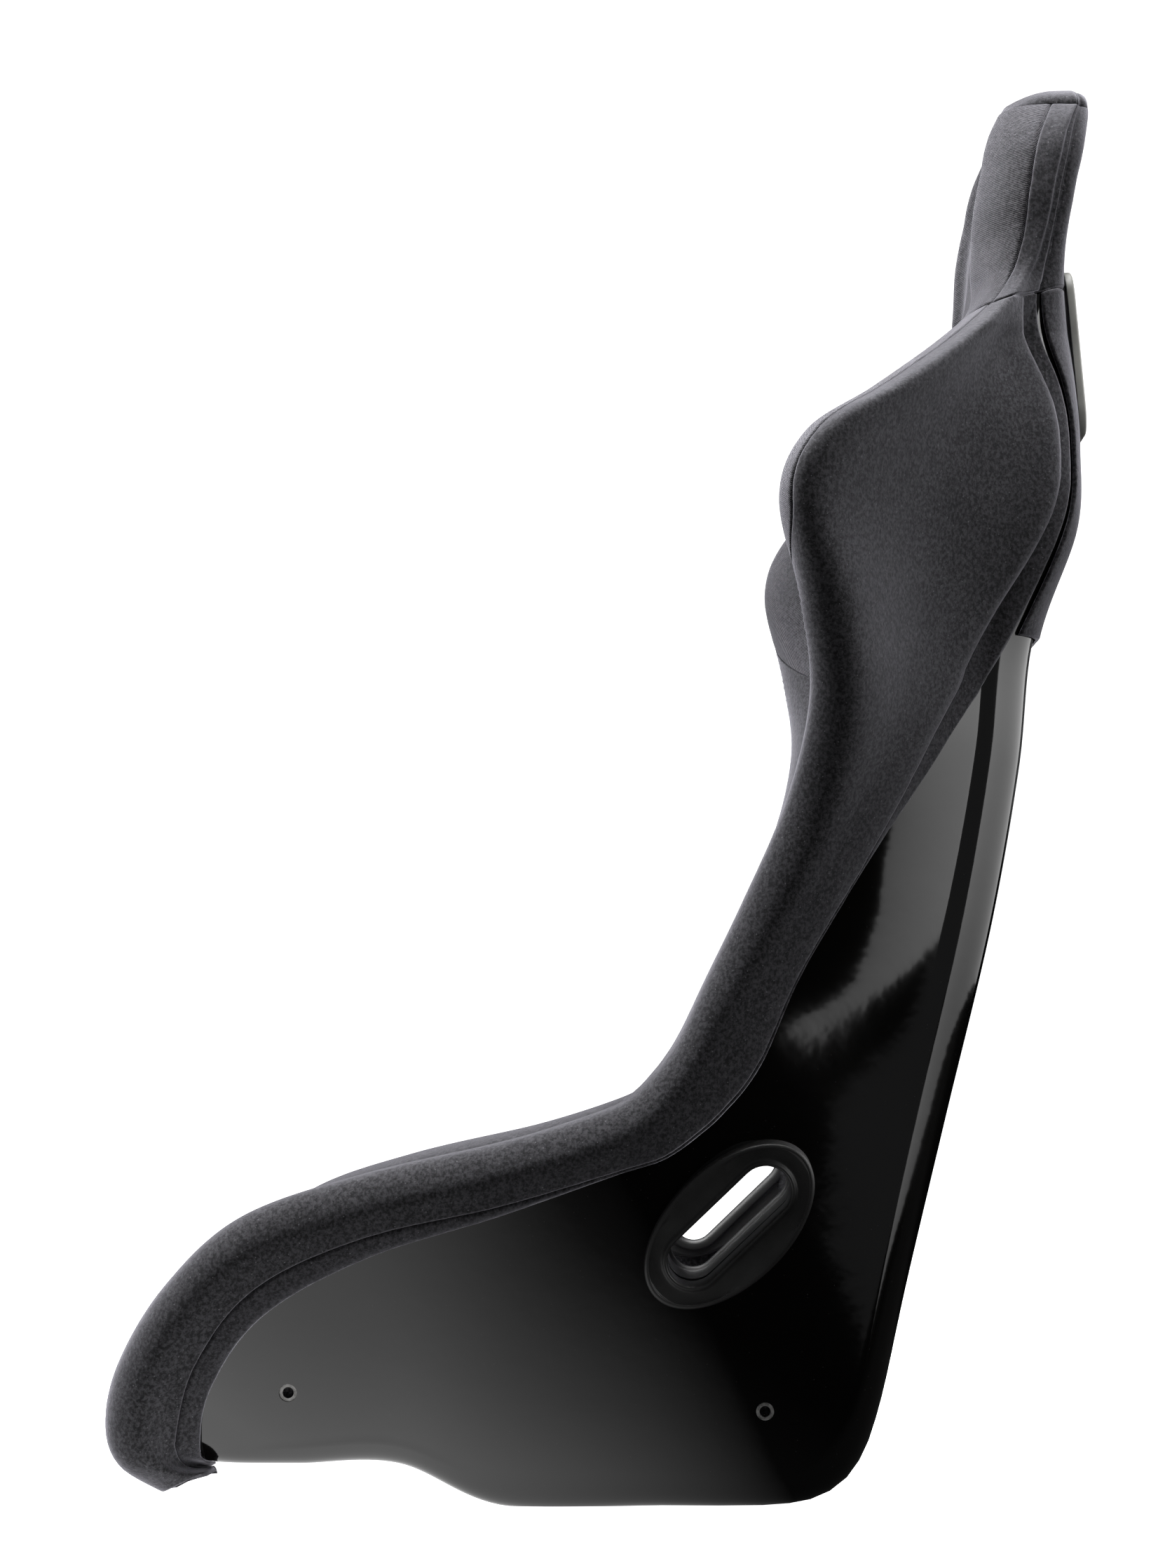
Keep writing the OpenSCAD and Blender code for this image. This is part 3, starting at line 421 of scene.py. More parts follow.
def velour(name, dark, light, ribs=0.0):
    """Short-pile velour: speckled pile, lint, sheen at grazing angles; ribs is their pitch in metres."""
    mat, nodes, links = material(name)
    shader = nodes["Principled BSDF"]
    place_in = node(nodes, "ShaderNodeTexCoord").outputs["Object"]
    pile = node(nodes, "ShaderNodeTexNoise")
    pile.inputs["Scale"].default_value = 420
    pile.inputs["Detail"].default_value = 5
    pile.inputs["Roughness"].default_value = 0.75
    links.new(place_in, pile.inputs["Vector"])
    cloud = node(nodes, "ShaderNodeTexNoise")
    cloud.inputs["Scale"].default_value = 26
    cloud.inputs["Detail"].default_value = 4
    links.new(place_in, cloud.inputs["Vector"])
    lint = node(nodes, "ShaderNodeTexVoronoi")
    lint.inputs["Scale"].default_value = 230
    links.new(place_in, lint.inputs["Vector"])
    specks = ramp_node(nodes, links, lint.outputs["Distance"], 0.05, 0.11, 1, 0)
    base = coloured(nodes, links, pile.outputs["Fac"], 0.42, 0.6, dark, light)
    tint = node(nodes, "ShaderNodeMix", data_type="RGBA", blend_type="MULTIPLY")
    tint.inputs["Factor"].default_value = 0.55
    links.new(base, tint.inputs["A"])
    patchy = coloured(nodes, links, cloud.outputs["Fac"], 0.3, 0.7, (0.62, 0.62, 0.64), (1, 1, 1))
    links.new(patchy, tint.inputs["B"])
    lit = node(nodes, "ShaderNodeMix", data_type="RGBA")
    links.new(ramp_node(nodes, links, specks, 0, 1, 0, 0.35), lit.inputs["Factor"])
    links.new(tint.outputs["Result"], lit.inputs["A"])
    lit.inputs["B"].default_value = (0.28, 0.28, 0.3, 1)
    links.new(lit.outputs["Result"], shader.inputs["Base Color"])
    shader.inputs["Roughness"].default_value = 0.95
    shader.inputs["Specular IOR Level"].default_value = 0.15
    shader.inputs["Sheen Weight"].default_value = 0.9
    shader.inputs["Sheen Roughness"].default_value = 0.42
    shader.inputs["Sheen Tint"].default_value = (0.62, 0.61, 0.68, 1)
    bump = node(nodes, "ShaderNodeBump")
    bump.inputs["Strength"].default_value = 0.55
    bump.inputs["Distance"].default_value = 0.0006
    height = pile.outputs["Fac"]
    if ribs:
        wave = node(nodes, "ShaderNodeTexWave", wave_type="BANDS", bands_direction="Y")
        wave.inputs["Scale"].default_value = 2 * math.pi / (20 * ribs)
        wave.inputs["Distortion"].default_value = 0.6
        wave.inputs["Detail"].default_value = 1
        links.new(node(nodes, "ShaderNodeUVMap", uv_map="UVMap").outputs["UV"], wave.inputs["Vector"])
        both = node(nodes, "ShaderNodeMath", operation="MULTIPLY_ADD")
        links.new(wave.outputs["Fac"], both.inputs[0])
        both.inputs[1].default_value = 1.2
        links.new(pile.outputs["Fac"], both.inputs[2])
        height = both.outputs["Value"]
    links.new(height, bump.inputs["Height"])
    links.new(bump.outputs["Normal"], shader.inputs["Normal"])
    return mat


def gelcoat():
    """Polished black gelcoat with a faint orange peel and settled dust."""
    mat, nodes, links = material("gelcoat_black")
    shader = nodes["Principled BSDF"]
    place_in = node(nodes, "ShaderNodeTexCoord").outputs["Object"]
    peel = node(nodes, "ShaderNodeTexNoise")
    peel.inputs["Scale"].default_value = 60
    peel.inputs["Detail"].default_value = 2
    links.new(place_in, peel.inputs["Vector"])
    dust = node(nodes, "ShaderNodeTexVoronoi")
    dust.inputs["Scale"].default_value = 160
    links.new(place_in, dust.inputs["Vector"])
    haze = node(nodes, "ShaderNodeTexNoise")
    haze.inputs["Scale"].default_value = 7
    haze.inputs["Detail"].default_value = 5
    links.new(place_in, haze.inputs["Vector"])
    specks = ramp_node(nodes, links, dust.outputs["Distance"], 0.03, 0.06, 1, 0)
    base = node(nodes, "ShaderNodeMix", data_type="RGBA")
    links.new(ramp_node(nodes, links, specks, 0, 1, 0, 0.12), base.inputs["Factor"])
    base.inputs["A"].default_value = (0.0022, 0.0021, 0.002, 1)
    base.inputs["B"].default_value = (0.2, 0.2, 0.19, 1)
    links.new(base.outputs["Result"], shader.inputs["Base Color"])
    links.new(ramp_node(nodes, links, haze.outputs["Fac"], 0.3, 0.7, 0.05, 0.11), shader.inputs["Roughness"])
    shader.inputs["IOR"].default_value = 1.7
    bump = node(nodes, "ShaderNodeBump")
    bump.inputs["Strength"].default_value = 0.05
    bump.inputs["Distance"].default_value = 0.001
    links.new(peel.outputs["Fac"], bump.inputs["Height"])
    links.new(bump.outputs["Normal"], shader.inputs["Normal"])
    return mat


def moulded(name, colour, rough, grain):
    """Satin moulded plastic with a fine spark-eroded grain."""
    mat, nodes, links = material(name)
    shader = nodes["Principled BSDF"]
    place_in = node(nodes, "ShaderNodeTexCoord").outputs["Object"]
    fine = node(nodes, "ShaderNodeTexNoise")
    fine.inputs["Scale"].default_value = 1500
    fine.inputs["Detail"].default_value = 2
    links.new(place_in, fine.inputs["Vector"])
    wear = node(nodes, "ShaderNodeTexNoise")
    wear.inputs["Scale"].default_value = 40
    wear.inputs["Detail"].default_value = 6
    links.new(place_in, wear.inputs["Vector"])
    dark = tuple(0.85 * c for c in colour)
    light = tuple(min(1, 1.2 * c) for c in colour)
    links.new(coloured(nodes, links, wear.outputs["Fac"], 0.35, 0.7, dark, light),
              shader.inputs["Base Color"])
    links.new(ramp_node(nodes, links, wear.outputs["Fac"], 0.3, 0.7, rough - 0.06, rough + 0.08),
              shader.inputs["Roughness"])
    bump = node(nodes, "ShaderNodeBump")
    bump.inputs["Strength"].default_value = grain
    bump.inputs["Distance"].default_value = 0.0003
    links.new(fine.outputs["Fac"], bump.inputs["Height"])
    links.new(bump.outputs["Normal"], shader.inputs["Normal"])
    return mat


def metal(name, colour, rough):
    """Zinc-plated or brushed steel."""
    mat, nodes, links = material(name)
    shader = nodes["Principled BSDF"]
    place_in = node(nodes, "ShaderNodeTexCoord").outputs["Object"]
    stain = node(nodes, "ShaderNodeTexNoise")
    stain.inputs["Scale"].default_value = 300
    stain.inputs["Detail"].default_value = 4
    links.new(place_in, stain.inputs["Vector"])
    dark = tuple(0.7 * c for c in colour)
    links.new(coloured(nodes, links, stain.outputs["Fac"], 0.3, 0.7, dark, colour),
              shader.inputs["Base Color"])
    links.new(ramp_node(nodes, links, stain.outputs["Fac"], 0.3, 0.7, rough, rough + 0.15),
              shader.inputs["Roughness"])
    shader.inputs["Metallic"].default_value = 1
    return mat


VELOUR = velour("velour_charcoal", (0.006, 0.006, 0.0063), (0.05, 0.049, 0.053))
VELOUR_DARK = velour("velour_edge", (0.005, 0.005, 0.0053), (0.042, 0.041, 0.045))
VELOUR_RIBBED = velour("velour_ribbed", (0.008, 0.008, 0.0083), (0.065, 0.063, 0.068), ribs=0.00125)
GELCOAT = gelcoat()
TRIM_BLACK = moulded("trim_black", (0.012, 0.012, 0.012), 0.42, 0.25)
TRIM_GREY = moulded("trim_grey", (0.3, 0.3, 0.28), 0.4, 0.2)
ZINC = metal("zinc_plate", (0.75, 0.74, 0.72), 0.22)
PRIMER = moulded("black_primer", (0.02, 0.02, 0.02), 0.6, 0.3)
TAPE = velour("hook_tape", (0.004, 0.004, 0.004), (0.03, 0.03, 0.03))


# ---------------------------------------------------------------- shell
def cutter(name, outline, frame_matrix, low, high):
    """A prism over an outline of (x, y) points, in a local frame."""
    n = len(outline)
    pts = [(x, y, z) for z in (low, high) for x, y in outline]
    faces = [list(range(n))[::-1], list(range(n, 2 * n))]
    faces += [[i, (i + 1) % n, n + (i + 1) % n, n + i] for i in range(n)]
    obj = new_object(name, np.array(pts), faces, smooth=False)
    obj.data.transform(Matrix.Scale(1 / MM, 4))
    obj.data.transform(frame_matrix)
    obj.data.transform(Matrix.Scale(MM, 4))
    if frame_matrix.determinant() < 0:
        obj.data.flip_normals()
    return obj


def stadium(length, width, n=16):
    r, d = width / 2, (length - width) / 2
    a = np.linspace(-math.pi / 2, math.pi / 2, n)
    right = [(d + r * math.cos(v), r * math.sin(v)) for v in a]
    return right + [(-x, -y) for x, y in right]


def rounded(length, width, r, n=8):
    pts = []
    for k, (sx, sy) in enumerate(((1, 1), (-1, 1), (-1, -1), (1, -1))):
        for a in np.linspace(k * math.pi / 2, (k + 1) * math.pi / 2, n):
            pts.append((sx * (length / 2 - r) + r * math.cos(a), sy * (width / 2 - r) + r * math.sin(a)))
    return pts


def circle(r, n=40):
    return [(r * math.cos(2 * math.pi * i / n), r * math.sin(2 * math.pi * i / n)) for i in range(n)]


def turn(axis, degrees):
    return Matrix.Rotation(math.radians(degrees), 4, axis)


def move(x, y, z):
    return Matrix.Translation((x, y, z))


SLOT_AT, SLOT_LEAN, SLOT_ANGLE, SLOT_L, SLOT_W = (213, 79, 173), 8, 44, 92, 31
MOUNTS = ((203, -189, 70.5), (203, 101, 59))
SHOULDER_AT, SHOULDER_LEAN, SHOULDER_W, SHOULDER_H = (86, 718), 5.5, 54, 88
SHOULDER_REAR_Y, SHOULDER_FRONT_Y = 296, 245
CROTCH_Y, CROTCH_W, CROTCH_L, CROTCH_BASE_Z, CROTCH_TOP_Z = -161, 84, 30, 25.6, 97
SIDE_SLOT = move(*SLOT_AT) @ turn("Y", SLOT_LEAN) @ turn("Y", 90) @ turn("Z", 90 + SLOT_ANGLE)
MIRROR = Matrix.Scale(-1, 4, (1, 0, 0))
TWO_SIDES = (Matrix.Identity(4), MIRROR)


def cut(obj, cutters):
    """Subtracts the cutters and removes them. Faces that were there before keep their smooth normals."""
    before = obj.data
    tree = kdtree.KDTree(len(before.vertices))
    for i, v in enumerate(before.vertices):
        tree.insert(v.co, i)
    tree.balance()
    for c in cutters:
        mod = obj.modifiers.new(c.name, "BOOLEAN")
        mod.operation, mod.solver, mod.object = "DIFFERENCE", "MANIFOLD", c
    bpy.context.view_layer.update()
    mesh = bpy.data.meshes.new_from_object(obj.evaluated_get(bpy.context.evaluated_depsgraph_get()))
    obj.modifiers.clear()
    obj.data = mesh
    mesh.polygons.foreach_set("use_smooth", [True] * len(mesh.polygons))
    old = [v.normal.copy() for v in before.vertices]
    smooth = []
    for v in mesh.vertices:
        near = tree.find_n(v.co, 4)
        smooth.append(sum((old[i] / (d + 1e-6) for _, i, d in near), Vector()).normalized())
    split = [Vector()] * len(mesh.loops)
    for face in mesh.polygons:
        kept = min(smooth[mesh.loops[i].vertex_index].dot(face.normal) for i in face.loop_indices) > 0.5
        for i in face.loop_indices:
            split[i] = smooth[mesh.loops[i].vertex_index] if kept else face.normal.copy()
    mesh.normals_split_custom_set(split)
    for c in cutters:
        bpy.data.objects.remove(c)


def side_slots(grow):
    shape = stadium(SLOT_L + grow, SLOT_W + grow)
    return [cutter("slot", shape, side @ SIDE_SLOT, -60, 30) for side in TWO_SIDES]


def belt_slots(grow):
    shape = rounded(SHOULDER_W + grow, SHOULDER_H + grow, 12)
    place_at = move(SHOULDER_AT[0], 350, SHOULDER_AT[1]) @ turn("X", 90)
    return [cutter("belt", shape, side @ place_at, 0, 160) for side in TWO_SIDES]


def crotch_slot(grow):
    shape = rounded(CROTCH_W + grow, CROTCH_L + grow, 10)
    return [cutter("crotch", shape, move(0, CROTCH_Y, -20), 0, 160)]


def shell_cutters():
    made = side_slots(3) + belt_slots(5) + crotch_slot(3)
    for side in TWO_SIDES:
        for x, y, z in MOUNTS:
            made.append(cutter("mount", circle(5.5), side @ move(x, y, z) @ turn("Y", 90), -30, 30))
    return made


def make_shell():
    ts = stations(SHELL_START, SHELL_END, 6, (0, 0))
    half = np.concatenate([np.linspace(0.18, FLAT, 3)[:-1], np.linspace(FLAT, WALL, 13)[:-1],
                           np.linspace(WALL, 1, 34)])
    hs = np.concatenate([-half[::-1], [0], half])
    t, h = np.meshgrid(ts, hs, indexing="ij")
    outer = mirror_x(skin(t, np.abs(h), 0 * h), h)
    inner = mirror_x(skin(t, np.abs(h), 0 * h - SHELL_T), h)
    shell = solid("shell_moulding", outer, inner)
    cut(shell, shell_cutters())
    return dress(shell, GELCOAT, "seat", "shell", *[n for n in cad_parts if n.startswith("shell")])


make_shell()


# ---------------------------------------------------------------- bolsters
def seam_up(ts):
    return along(SEAM_UP, ts)


def seam_top(ts):
    """v of the upper seam: at the valley up to the waist, then over the crest along the wing."""
    return mix(ROLL_PARTS, ROLL_CREST, ramp(ts, 16, 17.9))


def proud(ts):
    return along(PROUD, ts)


def bolster(name, mirrored):
    ts = stations(0, BACK_END, 5, (3, 3))
    low = v_up(ts, seam_up(ts))
    vs = across(ts, low, seam_top(ts), 5)
    t = ts[:, None] + 0 * vs
    outer, inner = roll_out(t, vs), roll_in(t, vs)
    p = proud(ts)
    outer = upholster(outer, inner, (2.2 + p, np.where(ts < 16.5, 3.0, 2.0), 3, 2.5), 3, bulge=0.6)
    s = lengths(outer, 1)
    n = normals(outer, inner)
    outer = outer + n * (0.35 * p[:, None] * np.exp(-((s - 12) / 14) ** 2))[..., None]
    roll = solid(name, outer, inner, mirrored)
    cut(roll, side_slots(3) + belt_slots(FABRIC_BACK))
    return roll


def hem_band(name, mirrored):
    ts = stations(0, BACK_END, 5, (2, 2))
    top = v_up(ts, seam_up(ts) - 0.2 + 0.9 * proud(ts))
    vs = across(ts, 0, top, 4, (3, 3))
    t = ts[:, None] + 0 * vs
    p = (proud(ts) / 6)[:, None, None]
    inner = roll_in(t, vs)
    e = hem_h(ts)[:, None]
    up_wall = np.where(vs < 1, 0.15 * vs, 0.15 + 0.4 * (vs - 1))
    low = skin(t, np.minimum(1, mix(e, 1, up_wall)), 0 * vs + HEM_T + 0.6)
    outer = mix(roll_out(t, vs), low, np.clip(p, 0, 1))
    outer = upholster(outer, inner, (1.6, np.maximum(2.2 - 0.5 * proud(ts), 0.3), 2, 2), 5, waves=0.25)
    return solid(name, outer, inner, mirrored)


def wing_gusset(name, mirrored):
    ts = stations(WING_START, BACK_END, 4, (3, 3))
    vs = across(ts, seam_top(ts) + 0.001, ROLL_PARTS, 4)
    t = ts[:, None] + 0 * vs
    outer, inner = roll_out(t, vs), roll_in(t, vs)
    outer = upholster(outer, inner, (2.0, 3.0, 2.0, 2.5), 7, bulge=0.3)
    gusset = solid(name, outer, inner, mirrored)
    cut(gusset, belt_slots(FABRIC_BACK))
    return gusset


pads, skins = [], []
for side, mirrored in SIDES:
    foams = [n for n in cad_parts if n.endswith("_foam_" + side)]
    pads += [dress(bolster("bolster_" + side, mirrored), VELOUR, "seat", "velour",
                   "side_cover_" + side, *foams),
             dress(wing_gusset("wing_gusset_" + side, mirrored), VELOUR_RIBBED, "seat", "velour_ribbed",
                   "wing_inner_cover_" + side)]
    skins.append(dress(hem_band("hem_band_" + side, mirrored), VELOUR_DARK, "seat", "velour_dark",
                       "rim_band_" + side))


# ---------------------------------------------------------------- middle pads
def inflate(pad, most, still=()):
    """Lets cloth under air pressure swell a remeshed copy of the pad, and moves the pad's own points with it.
    Points near the places in still, each a centre and a radius, stay where they are."""
    twin = pad.copy()
    twin.data = pad.data.copy()
    bpy.context.scene.collection.objects.link(twin)
    remesh = twin.modifiers.new("remesh", "REMESH")
    remesh.mode, remesh.voxel_size = "VOXEL", 0.007
    bpy.context.view_layer.update()
    before = bpy.data.meshes.new_from_object(twin.evaluated_get(bpy.context.evaluated_depsgraph_get()))
    twin.modifiers.clear()
    twin.data = before
    cloth = twin.modifiers.new("cloth", "CLOTH")
    cloth.settings.quality = 4
    cloth.settings.use_pressure = True
    cloth.settings.uniform_pressure_force = 4
    cloth.settings.effector_weights.gravity = 0
    for number in range(1, 21):
        bpy.context.scene.frame_set(number)
    after = bpy.data.meshes.new_from_object(twin.evaluated_get(bpy.context.evaluated_depsgraph_get()))
    bpy.context.scene.frame_set(1)
    tree = kdtree.KDTree(len(before.vertices))
    for i, v in enumerate(before.vertices):
        tree.insert(v.co, i)
    tree.balance()
    moves = [b.co - a.co for a, b in zip(before.vertices, after.vertices)]
    for v in pad.data.vertices:
        near = tree.find_n(v.co, 6)
        shift = sum((moves[i] for _, i, _ in near), Vector()) / len(near)
        if shift.length > most * MM:
            shift = shift * (most * MM / shift.length)
        away = [(v.co - Vector(c) * MM).length / (r * MM) for c, r in still]
        free = min([1.0] + [max(0.0, (d - 1) / 0.6) for d in away])
        v.co += shift * free
    bpy.data.objects.remove(twin)
    for mesh in (before, after):
        bpy.data.meshes.remove(mesh)


def middle(ts, x_edge, lift, step=6, ends=(4, 4)):
    f = spaced(-1, 1, step / 160, ends)
    t, f = np.meshgrid(ts, f, indexing="ij")
    x = f * x_edge(t)
    return middle_out(t, x), middle_in(t, x, lift)


def valley_edge(t):
    return along(VALLEY_X, t) - 0.8


def nose_pad():
    ts = stations(0, CUSHION_START - 0.06, 4, (3, 3))
    outer, inner = middle(ts, valley_edge, MIDDLE_LIFT)
    return solid("nose_pad", upholster(outer, inner, (3, 3, 2, 3), 11), inner)


def seat_cushion():
    ts = stations(CUSHION_START, CUSHION_END, 6)
    outer, inner = middle(ts, lambda t: 0 * t + CUSHION_HALF, CUSHION_LIFT)
    pad = solid("seat_cushion_pad", upholster(outer, inner, (9, 9, 5, 5), 13, bulge=1.5), inner)
    inflate(pad, 4, [((0, CROTCH_Y, CROTCH_TOP_Z), 55)])
    cut(pad, crotch_slot(3))
    return pad


def back_pad():
    ts = stations(BACK_START, BACK_END, 5)
    outer, inner = middle(ts, valley_edge, MIDDLE_LIFT)
    pad = solid("back_pad", upholster(outer, inner, (3, 3, 5, 2), 17, bulge=1.0), inner)
    x, z = SHOULDER_AT
    inflate(pad, 3, [((x, SHOULDER_FRONT_Y, z), 56), ((-x, SHOULDER_FRONT_Y, z), 56)])
    cut(pad, belt_slots(FABRIC_BACK))
    return pad


pads += [dress(nose_pad(), VELOUR, "seat", "velour", "nose_foam", "nose_cover"),
         dress(seat_cushion(), VELOUR, "seat_cushion", "velour", "cushion_foam", "cushion_cover"),
         dress(back_pad(), VELOUR, "seat", "velour", "back_foam", "upper_back_foam", "back_cover")]


# ---------------------------------------------------------------- head section
def head_front(t, f, deep):
    """Front of the head section from crest to crest, f from -1 to 1; deep is its face towards the shell."""
    a = np.abs(f)
    v = mix(ROLL_PARTS, ROLL_CREST, np.clip((a - 0.4) / 0.6, 0, 1))
    x = np.clip(a / 0.4, 0, 1) * along(VALLEY_X, t)
    p = np.where((a < 0.4)[..., None], middle_in(t, x, MIDDLE_LIFT) if deep else middle_out(t, x),
                 roll_in(t, v) if deep else roll_out(t, v))
    return mirror_x(p, f)


def head_pad():
    ts = stations(HEAD_START, SHELL_END - 0.03, 4)
    t, f = np.meshgrid(ts, spaced(-1, 1, 0.035), indexing="ij")
    outer, inner = head_front(t, f, False), head_front(t, f, True)
    return solid("head_pad", upholster(outer, inner, (2, 2, 3, 0), 19, bulge=0.5), inner)


def rear_h(c, e):
    a = np.abs(c)
    return np.where(a <= 1, FLAT * a, mix(FLAT, e, a - 1))


def head_rear():
    ts = stations(HEAD_START, SHELL_END - 0.03, 4)
    t, c = np.meshgrid(ts, spaced(-3, 3, 0.06), indexing="ij")
    a = np.abs(c)
    h = rear_h(np.minimum(a, 2), hem_h(t))
    v = np.clip(a - 2, 0, 1) * ROLL_CREST
    outer = mirror_x(np.where((a <= 2)[..., None], skin(t, h, 0 * t + HEM_T), roll_out(t, v)), c)
    inner = mirror_x(np.where((a <= 2)[..., None], skin(t, h, 0 * t + GLUE_T), roll_in(t, v)), c)
    pad = solid("head_rear_cover_fabric", upholster(outer, inner, (2, 2, 2, 0), 23, waves=0.3), inner)
    cut(pad, belt_slots(FABRIC_BACK))
    return pad


def head_crown():
    """Pillow-like top of the head section: its last outline, under a dome that is blunter to the rear."""
    t = SHELL_END
    front = head_front(t, spaced(-1, 1, 0.05), False)
    side = roll_out(t, np.linspace(ROLL_CREST, 0, 12)[1:])
    h = np.linspace(1, -1, 30)[1:-1]
    rear = mirror_x(skin(t, np.abs(h) * hem_h(t), 0 * h + HEM_T), h)
    base = np.concatenate([front, side, rear, (side * [-1, 1, 1])[::-1]]) + [0, 0, -1]
    centre = mix(base[:, 1].min(), base[:, 1].max(), 0.62)
    up = np.sin(np.linspace(0, math.pi / 2, 22))[:, None] * 0.9998
    off = base[:, 1] - centre
    depth = np.where(off < 0, (1 - up ** 1.15) ** 0.5, (1 - up ** 2.2) ** (1 / 2.2))
    width = (1 - up ** 2.4) ** (1 / 2.4)
    ring = np.stack([base[:, 0] * width, centre + off * depth, mix(base[:, 2], HEAD_TOP_Z, up)], -1)
    n, m = ring.shape[:2]
    ids = np.arange(n * m).reshape(n, m)
    turned = np.roll(ids, -1, 1)
    faces = np.stack([ids[:-1], turned[:-1], turned[1:], ids[1:]], -1).reshape(-1, 4)[:, ::-1].tolist()
    faces += [ids[0].tolist(), ids[-1][::-1].tolist()]
    uv = np.stack([lengths(ring, 1), lengths(ring, 0)], -1).reshape(-1, 2)
    return new_object("head_crown_fabric", ring.reshape(-1, 3), faces, uv)


SWELL_Z = (738, 770, 811, 837, 863, 878)     # heights at which the two rows below are given
SWELL_FORE = (0, 3.5, 4.5, 4.5, 9, 10.5)
SWELL_AFT = (0, 2, 5, 5.5, 4.5, 4.5)


def swell_head(parts):
    """Fills the head section out fore and aft of its middle."""
    where = [np.array([v.co for v in part.data.vertices]) / MM for part in parts]
    points = np.concatenate(where)
    levels = np.arange(742, 880, 6)
    near = [points[abs(points[:, 2] - z) < 5, 1] for z in levels]
    middle_y = [0.5 * (y.min() + y.max()) for y in near]
    for part, co in zip(parts, where):
        side = np.clip((co[:, 1] - np.interp(co[:, 2], levels, middle_y)) / 14, -1, 1)
        fore, aft = np.interp(co[:, 2], SWELL_Z, SWELL_FORE), np.interp(co[:, 2], SWELL_Z, SWELL_AFT)
        co[:, 1] += np.where(side < 0, fore, aft) * side
        part.data.vertices.foreach_set("co", (co * MM).ravel())
        part.data.update()


def rear_panel():
    ts = stations(17, BACK_END, 5)
    t, c = np.meshgrid(ts, spaced(-2, 2, 0.05), indexing="ij")
    h = rear_h(c, hem_h(t) - 0.02)
    outer, inner = skin(t, h, 0 * t + 4.0), skin(t, h, 0 * t + GLUE_T)
    outer, inner = mirror_x(outer, c), mirror_x(inner, c)
    pad = solid("rear_panel", upholster(outer, inner, (1.5, 1.5, 2, 2), 29, waves=0.3, seam_pull=0.2), inner)
    cut(pad, belt_slots(FABRIC_BACK))
    return pad


head_pieces = [head_pad(), head_crown(), head_rear()]
swell_head(head_pieces)
pads += [dress(head_pieces[0], VELOUR_RIBBED, "seat", "velour_ribbed", "head_foam", "head_front_cover"),
         dress(head_pieces[1], VELOUR_DARK, "seat", "velour_dark", "head_crown")]
skins += [dress(head_pieces[2], VELOUR_DARK, "seat", "velour_dark", "head_rear_cover"),
          dress(rear_panel(), VELOUR_DARK, "seat", "velour_dark", "rear_cover")]

# ---------------------------------------------------------------- harness slot trims
ANGLES = 96             # points round a trim
BEZEL_RX, BEZEL_RY = 62.5, 36.5


def walked(shape, count, closed_end):
    """Points at even distances round a closed outline."""
    dense = np.array(shape + shape[:1])
    walk = np.concatenate([[0], np.cumsum(np.linalg.norm(np.diff(dense, axis=0), axis=1))])
    at = np.linspace(0, walk[-1], count, endpoint=closed_end)
    return np.stack([np.interp(at, walk, dense[:, 0]), np.interp(at, walk, dense[:, 1])], -1)


def outline(shape, angles):
    """Points of a closed outline at these angles about its centre."""
    fine = walked(shape, 2000, True)
    r = np.interp(angles, np.arctan2(fine[:, 1], fine[:, 0]), np.hypot(fine[:, 0], fine[:, 1]),
                  period=2 * math.pi)
    return np.stack([r * np.cos(angles), r * np.sin(angles)], -1)


def even_angles(shape):
    even = walked(shape, ANGLES, False)
    return np.arctan2(even[:, 1], even[:, 0])


def oval(less):
    """The bezel's outline, less this much all round."""
    angles = np.linspace(0, 2 * math.pi, 200, endpoint=False)
    return [((BEZEL_RX - less) * math.cos(a), (BEZEL_RY - less) * math.sin(a)) for a in angles]


def trim(name, side, place_at, rings):
    """A closed moulding: rings of (outline, height) from its outer foot over its face and down its sleeve."""
    angles = even_angles(rings[-1][0])
    grid = np.array([[(x, y, z) for x, y in outline(shape, angles)] for shape, z in rings])
    n = len(rings)
    ids = np.arange(n * ANGLES).reshape(n, ANGLES)
    up, on = np.roll(ids, -1, 0), np.roll(ids, -1, 1)
    both = np.roll(up, -1, 1)
    faces = np.stack([ids, on, both, up], -1).reshape(-1, 4).tolist()
    obj = new_object(name, grid.reshape(-1, 3), faces)
    obj.data.transform(Matrix.Scale(MM, 4) @ side @ place_at @ Matrix.Scale(1 / MM, 4))
    volume = sum(p.area * p.normal.dot(p.center - obj.data.vertices[0].co) for p in obj.data.polygons)
    if volume < 0:
        obj.data.flip_normals()
    crease = obj.modifiers.new("bevelled", "BEVEL")
    crease.width, crease.segments = 0.0004, 2
    crease.limit_method, crease.angle_limit = "ANGLE", math.radians(30)
    obj.data.set_sharp_from_angle(angle=math.radians(40))
    return obj


def slot_shape(grow):
    return stadium(SLOT_L + grow, SLOT_W + grow)


# Oval part of each ring, then slot-shaped part, as (inset or growth, height)
side_face = [(oval(less), z) for less, z in ((0, -12), (0, 3.2), (0.5, 4.4), (1.6, 5.2), (3.2, 5.2))]
side_face += [(slot_shape(grow), z) for grow, z in (
    (26, 3.6), (16, 2.6), (8.5, 2.6), (6.5, 3.2), (4.8, 4.2), (3, 4.5), (1.2, 4), (0, 2.6), (0, -16),
    (2.4, -16), (2.4, -12))]
inside_face = [(oval(less), z) for less, z in ((4, -41), (4, -45.5), (5.5, -47))]
inside_face += [(slot_shape(grow), z) for grow, z in (
    (12, -47), (10.5, -48.5), (4, -48.8), (0, -48), (-3.5, -46.4), (-4.4, -44.4), (-3.5, -42.4), (0, -40.6),
    (0, -16.5), (2.4, -16.5), (2.4, -41))]
